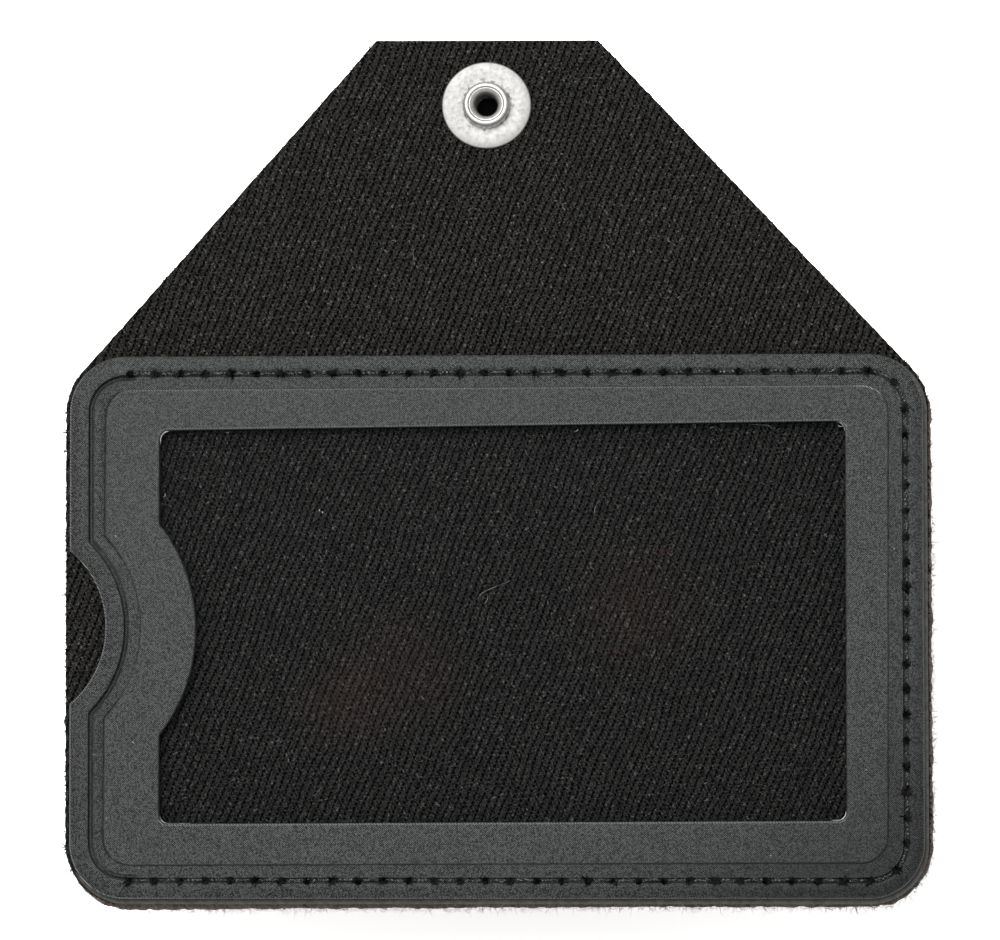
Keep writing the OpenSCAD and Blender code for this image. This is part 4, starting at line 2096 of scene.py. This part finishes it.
@dataclass
class Snap:
    """The stud on the flap's face and the eyelet that holds it through the cloth."""

    x: float = -1.0
    y: float = 58.3
    cloth_over: float = 1.6
    cloth_under: float = 0.7
    flange_r: float = 5.0
    bead_r: float = 2.55
    neck_r: float = 2.35
    mouth_r: float = 1.95
    height: float = 2.0
    sheet: float = 0.35
    eyelet_r: float = 4.75
    barrel_r: float = 1.45
    bore_r: float = 1.15
    hole_r: float = 1.56
    pressed: float = 0.97
    steps: int = 96

    def _spin(self, name: str, profile: Sequence[tuple[float, float]]) -> bpy.types.Object:
        """Spins a profile of radius and height about the snap's axis.

        Args:
            name: The piece's name.
            profile: The section. It is closed here unless it starts and ends on the axis.

        Returns:
            The piece.
        """
        bm = bmesh.new()
        verts = [bm.verts.new((self.x + r, self.y, z)) for r, z in profile]
        ends = list(zip(verts, verts[1:]))
        if profile[0][0] > 0:
            ends.append((verts[-1], verts[0]))
        edges = [bm.edges.new(pair) for pair in ends]
        bmesh.ops.spin(
            bm, geom=verts + edges, cent=(self.x, self.y, 0.0), axis=(0.0, 0.0, 1.0),
            angle=math.tau, steps=self.steps, use_merge=True, use_duplicate=False,
        )
        bmesh.ops.scale(
            bm, vec=Vector((1.0, self.pressed, 1.0)), verts=bm.verts[:],
            space=Matrix.Translation((-self.x, -self.y, 0.0)),
        )
        return close_mesh(bm, name, 40.0)

    def stud_profile(self) -> list[tuple[float, float]]:
        """The stud's section.

        Returns:
            The radius and height of its points: a soft flange, a neck, a rolled bead and a
            funnel mouth.
        """
        z, t, h = self.cloth_over, self.sheet, self.height
        bead, neck, mouth = self.bead_r, self.neck_r, self.mouth_r
        return [
            (self.hole_r, z), (self.flange_r - 0.12, z), (self.flange_r - 0.02, z + 0.05),
            (self.flange_r, z + 0.14), (self.flange_r, z + t - 0.10),
            (self.flange_r - 0.05, z + t - 0.03), (self.flange_r - 0.15, z + t),
            (3.9, z + t + 0.02), (3.3, z + t), (neck + 0.6, z + t - 0.02),
            (neck + 0.3, z + t), (neck + 0.12, z + t + 0.06), (neck + 0.02, z + t + 0.18),
            (neck, z + h * 0.38), (neck + 0.08, z + h * 0.46),
            (bead - 0.01, z + h * 0.56), (bead + 0.02, z + h * 0.68),
            (bead, z + h * 0.78), (bead - 0.03, z + h * 0.86), (bead - 0.08, z + h * 0.925),
            (bead - 0.16, z + h * 0.975), (bead - 0.27, z + h), (mouth + 0.15, z + h),
            (mouth + 0.07, z + h * 0.99), (mouth + 0.02, z + h * 0.965), (mouth, z + h * 0.92),
            (mouth, z + t), (self.hole_r, z + t),
        ]

    def post_profile(self) -> list[tuple[float, float]]:
        """The post's section.

        Returns:
            The radius and height of its points: a closed dome under the cloth and a lip rolled
            out above.
        """
        z, t, r, h = self.cloth_over, self.sheet, self.eyelet_r, self.height
        roll = self.mouth_r - 0.02
        under, bore = self.cloth_under, self.bore_r
        return [
            (0.0, 0.0), (r * 0.5, 0.0), (r * 0.75, 0.03), (r * 0.88, 0.14),
            (r * 0.96, 0.32), (r, 0.5), (r, under - 0.06), (r - 0.1, under),
            (self.barrel_r, under), (self.barrel_r, z + t), (roll, z + t),
            (roll, z + h * 0.89), (roll - 0.03, z + h * 0.91), (roll - 0.09, z + h * 0.91),
            (roll - 0.19, z + h * 0.89), (roll - 0.31, z + h * 0.85), (roll - 0.43, z + h * 0.79),
            (roll - 0.54, z + h * 0.71), (roll - 0.63, z + h * 0.59), (roll - 0.70, z + h * 0.40),
            (bore + 0.03, z + h * 0.1), (bore, z - 0.1), (bore, t + 0.1), (bore - 0.1, t),
            (0.0, t),
        ]

    def build(self, finish: bpy.types.Material) -> None:
        """Makes the stud and the post.

        Args:
            finish: The metal.
        """
        stud = self._spin("snap_stud_cap", self.stud_profile())
        settle(stud, Body.FLAP, finish, ["snap_stud"])
        post = self._spin("snap_post", self.post_profile())
        settle(post, Body.FLAP, finish, ["snap_eyelet"])


@dataclass
class Lint:
    """Stray fibres and specks that lie on the wallet, and a row of pale specks that are painted glints
    along the window's top edge.

    Each fibre is given by its place, its length and its width.
    """

    film_z: float = 2.93
    frame_z: float = 4.12
    cloth_z: float = 1.64
    specks: int = 110
    specks_x: float = 46.5
    specks_y: float = 29.0
    border_x: float = 39.5
    border_y: float = 24.0
    border_at: float = 0.6
    on_film: tuple[tuple[float, float, float, float], ...] = (
        (-19.6, 12.9, 0.35, 2.6), (-19.3, 12.7, 0.3, 2.2), (-36.9, 14.9, 0.3, 1.6),
        (-2.0, 3.1, 2.2, 0.55), (-1.2, 2.6, 1.4, 0.5), (30.8, 21.9, 1.8, 0.5),
        (24.5, 15.2, 0.9, 0.5), (4.0, 18.5, 0.8, 0.5), (-8.5, -15.0, 0.7, 0.5),
        (11.0, 12.6, 1.1, 0.45), (33.0, -9.0, 0.6, 0.5), (-28.0, -3.0, 0.8, 0.45),
        # These six, in a row just inside the window's top edge, are painted glints of that edge, drawn
        # as pale specks.
        (9.2, 21.9, 0.4, 1.4), (22.2, 22.0, 0.35, 1.3), (24.3, 22.1, 0.4, 1.4),
        (-29.8, 21.7, 0.3, 1.4), (-34.2, 21.5, 0.3, 1.1), (14.4, 21.7, 0.3, 1.1),
    )
    on_flap: tuple[tuple[float, float, float, float], ...] = (
        (7.8, 46.5, 1.1, 0.6), (11.6, 39.4, 0.9, 0.5), (-14.0, 49.0, 0.7, 0.5),
        (-27.8, 45.2, 0.6, 0.5), (20.5, 43.0, 0.8, 0.4), (-9.0, 41.0, 0.7, 0.5),
    )
    dyed: tuple[tuple[float, float, float, float], ...] = (
        (13.2, -2.5, 0.9, 0.6), (19.6, 7.8, 0.8, 0.6), (2.0, 1.2, 0.5, 0.6)
    )

    def build(self, pale: bpy.types.Material, red: bpy.types.Material) -> None:
        """Makes the pale and the red fibres.

        Args:
            pale: The material of the pale ones.
            red: The material of the red ones.
        """
        rng = random.Random(71)
        self._strew(rng, "lint_on_film", 0.028, self.film_z, self.on_film, pale, Body.POCKET)
        dust = Strands("lint_on_frame", 0.04)
        for _ in range(self.specks):
            x = rng.uniform(-self.specks_x, self.specks_x)
            y = rng.uniform(-self.specks_y, self.specks_y)
            if abs(x - self.border_at) > self.border_x or abs(y) > self.border_y:
                length, width = rng.uniform(0.08, 0.2), rng.uniform(0.6, 1.5)
                self._fibre(rng, dust, Vector((x, y, self.frame_z)), length, width)
        settle(dust.piece(), Body.POCKET, pale)
        self._strew(rng, "lint_on_flap", 0.026, self.cloth_z, self.on_flap, pale, Body.FLAP)
        self._strew(rng, "lint_red", 0.035, self.film_z, self.dyed, red, Body.POCKET)

    def _strew(
        self,
        rng: random.Random,
        name: str,
        radius: float,
        z: float,
        fibres: Sequence[tuple[float, float, float, float]],
        finish: bpy.types.Material,
        body: Body,
    ) -> None:
        """Makes one piece of fibres at given places.

        Args:
            rng: The seeded source of chance.
            name: The piece's name.
            radius: The fibres' radius at a width of 1.
            z: The height that they lie at.
            fibres: The place, length and width of each.
            finish: Their material.
            body: The body that they lie on.
        """
        bundle = Strands(name, radius)
        for x, y, length, width in fibres:
            self._fibre(rng, bundle, Vector((x, y, z)), length, width)
        settle(bundle.piece(), body, finish)

    @staticmethod
    def _fibre(rng: random.Random, bundle: Strands, at: Vector, length: float, width: float) -> None:
        """Adds one fibre that lies flat.

        Args:
            rng: The seeded source of chance.
            bundle: The piece that it joins.
            at: Its start.
            length: Its length.
            width: Its width, as a share of the bundle's.
        """
        a = rng.uniform(0, math.tau)
        points = curl(rng, at, Vector((math.cos(a), math.sin(a), 0.0)), length, 0.5)
        for p in points:
            p.z = at.z
        bundle.fibre(points, width, 0.9, 0.5)


@dataclass
class Studio:
    """The floor, the soft lights and the camera at the photograph's angle."""

    camera_mm: Point = (28.26, -11.35, 619.84)
    turn_deg: Point = (2.664, 2.579, -0.070)
    lens: float = 200.0
    sensor: float = 36.0
    clip_m: Span = (0.02, 20.0)
    floor_z: float = -36.0
    floor_half: float = 1500.0
    floor_grey: Colour = (0.8, 0.8, 0.8)
    floor_seen: float = 2.6
    world: float = 0.52
    lamp_m: Point = (-0.11, 0.24, 0.78)
    lamp_across: float = 0.40
    lamp_watts: float = 4.2

    def build(self) -> None:
        """Makes the stage, the lamp, the world and the camera."""
        self._floor()
        self._lamp()
        self._world()
        data = bpy.data.cameras.new("photo_camera")
        data.lens = self.lens
        data.sensor_width = self.sensor
        data.clip_start, data.clip_end = self.clip_m
        camera = bpy.data.objects.new("photo_camera", data)
        camera.location = Vector(self.camera_mm) * MM
        camera.rotation_euler = [math.radians(a) for a in self.turn_deg]
        bpy.context.scene.collection.objects.link(camera)
        bpy.context.scene.camera = camera
        bpy.context.scene.view_settings.view_transform = "Standard"

    def _lamp(self) -> None:
        """One large soft lamp above the wallet's upper left."""
        data = bpy.data.lights.new("soft_lamp", "AREA")
        data.shape = "DISK"
        data.size = self.lamp_across
        data.energy = self.lamp_watts
        lamp = bpy.data.objects.new("soft_lamp", data)
        lamp.location = self.lamp_m
        lamp.rotation_mode = "QUATERNION"
        lamp.rotation_quaternion = (-Vector(self.lamp_m)).to_track_quat("-Z", "Y")
        bpy.context.scene.collection.objects.link(lamp)

    def _world(self) -> None:
        """A plain light world that shows white behind the object and in its gloss."""
        world = bpy.data.worlds.new("plain_world")
        world.use_nodes = True
        nodes = Nodes(world.node_tree)
        light = nodes.tree.nodes["Background"]
        nodes.feed(light.inputs["Color"], WHITE)
        nodes.feed(light.inputs["Strength"], self.world)
        shown = nodes.node("ShaderNodeBackground", None, {"Color": WHITE, "Strength": 1.0})
        straight = nodes.node("ShaderNodeLightPath", output="Is Camera Ray")
        through = nodes.node("ShaderNodeLightPath", output="Is Transmission Ray")
        either = nodes.math("MAXIMUM", straight, through)
        lit = Socket(nodes, light.outputs[0])
        both = nodes.node("ShaderNodeMixShader", None, {0: either, 1: lit, 2: shown})
        nodes.feed(nodes.tree.nodes["World Output"].inputs["Surface"], both)
        bpy.context.scene.world = world

    def _floor(self) -> None:
        """A white floor that keeps a faint shadow and is clear from below."""
        bm = bmesh.new()
        bmesh.ops.create_grid(bm, x_segments=2, y_segments=2, size=self.floor_half)
        bmesh.ops.translate(bm, vec=Vector((0.0, 0.0, self.floor_z)), verts=bm.verts[:])
        bmesh.ops.scale(bm, vec=Vector((MM, MM, MM)), verts=bm.verts[:])
        mesh = bpy.data.meshes.new("floor")
        bm.to_mesh(mesh)
        bm.free()
        floor = link_mesh(mesh, "floor", None)
        s = Shader("floor_white")
        seen = s.node("ShaderNodeLightPath", output="Is Camera Ray")
        shade = s.mix(seen, self.floor_grey, (self.floor_seen,) * 3)
        lit = s.node("ShaderNodeBsdfDiffuse", None, {"Color": shade})
        clear = s.node("ShaderNodeBsdfTransparent")
        behind = s.node("ShaderNodeNewGeometry", output="Backfacing")
        both = s.node("ShaderNodeMixShader", None, {0: behind, 1: lit, 2: clear})
        s.feed(s.end.inputs["Surface"], both)
        floor.data.materials.append(s.material)


def main() -> None:
    """Loads the frame, dresses it and sets the studio."""
    logging.basicConfig(level=logging.INFO, format="%(name)s: %(message)s")
    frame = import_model()
    black = BLACK_FIBRES.material()
    thread = SewingThread().material()
    moulding = MouldedFrame()
    seam = Seam()
    moulding.build(seam.holes(), MouldedPlastic().material())
    ClearWindow(moulding).build(ClearFilm().material(), FilmEdgeGlint().material())
    spacer = frame["nodes"]["pocket_spacer"]
    spacer.data.materials.clear()
    spacer.data.materials.append(CutSheet().material())
    LOG.info("%s: %d faces", spacer.name, len(spacer.data.polygons))
    cloth = Cloth()
    FeltLining(moulding).build(Felt().material(), FELT_FIBRES.material())
    snap = Snap()
    snap.build(SatinMetal((snap.x, snap.y)).material())
    cloth.build(Twill().material())
    Fringe(cloth).build(black)
    seam.build(thread, black)
    Lint().build(PALE_LINT.material(), RED_LINT.material())
    Studio().build()


if __name__ == "__main__":
    main()
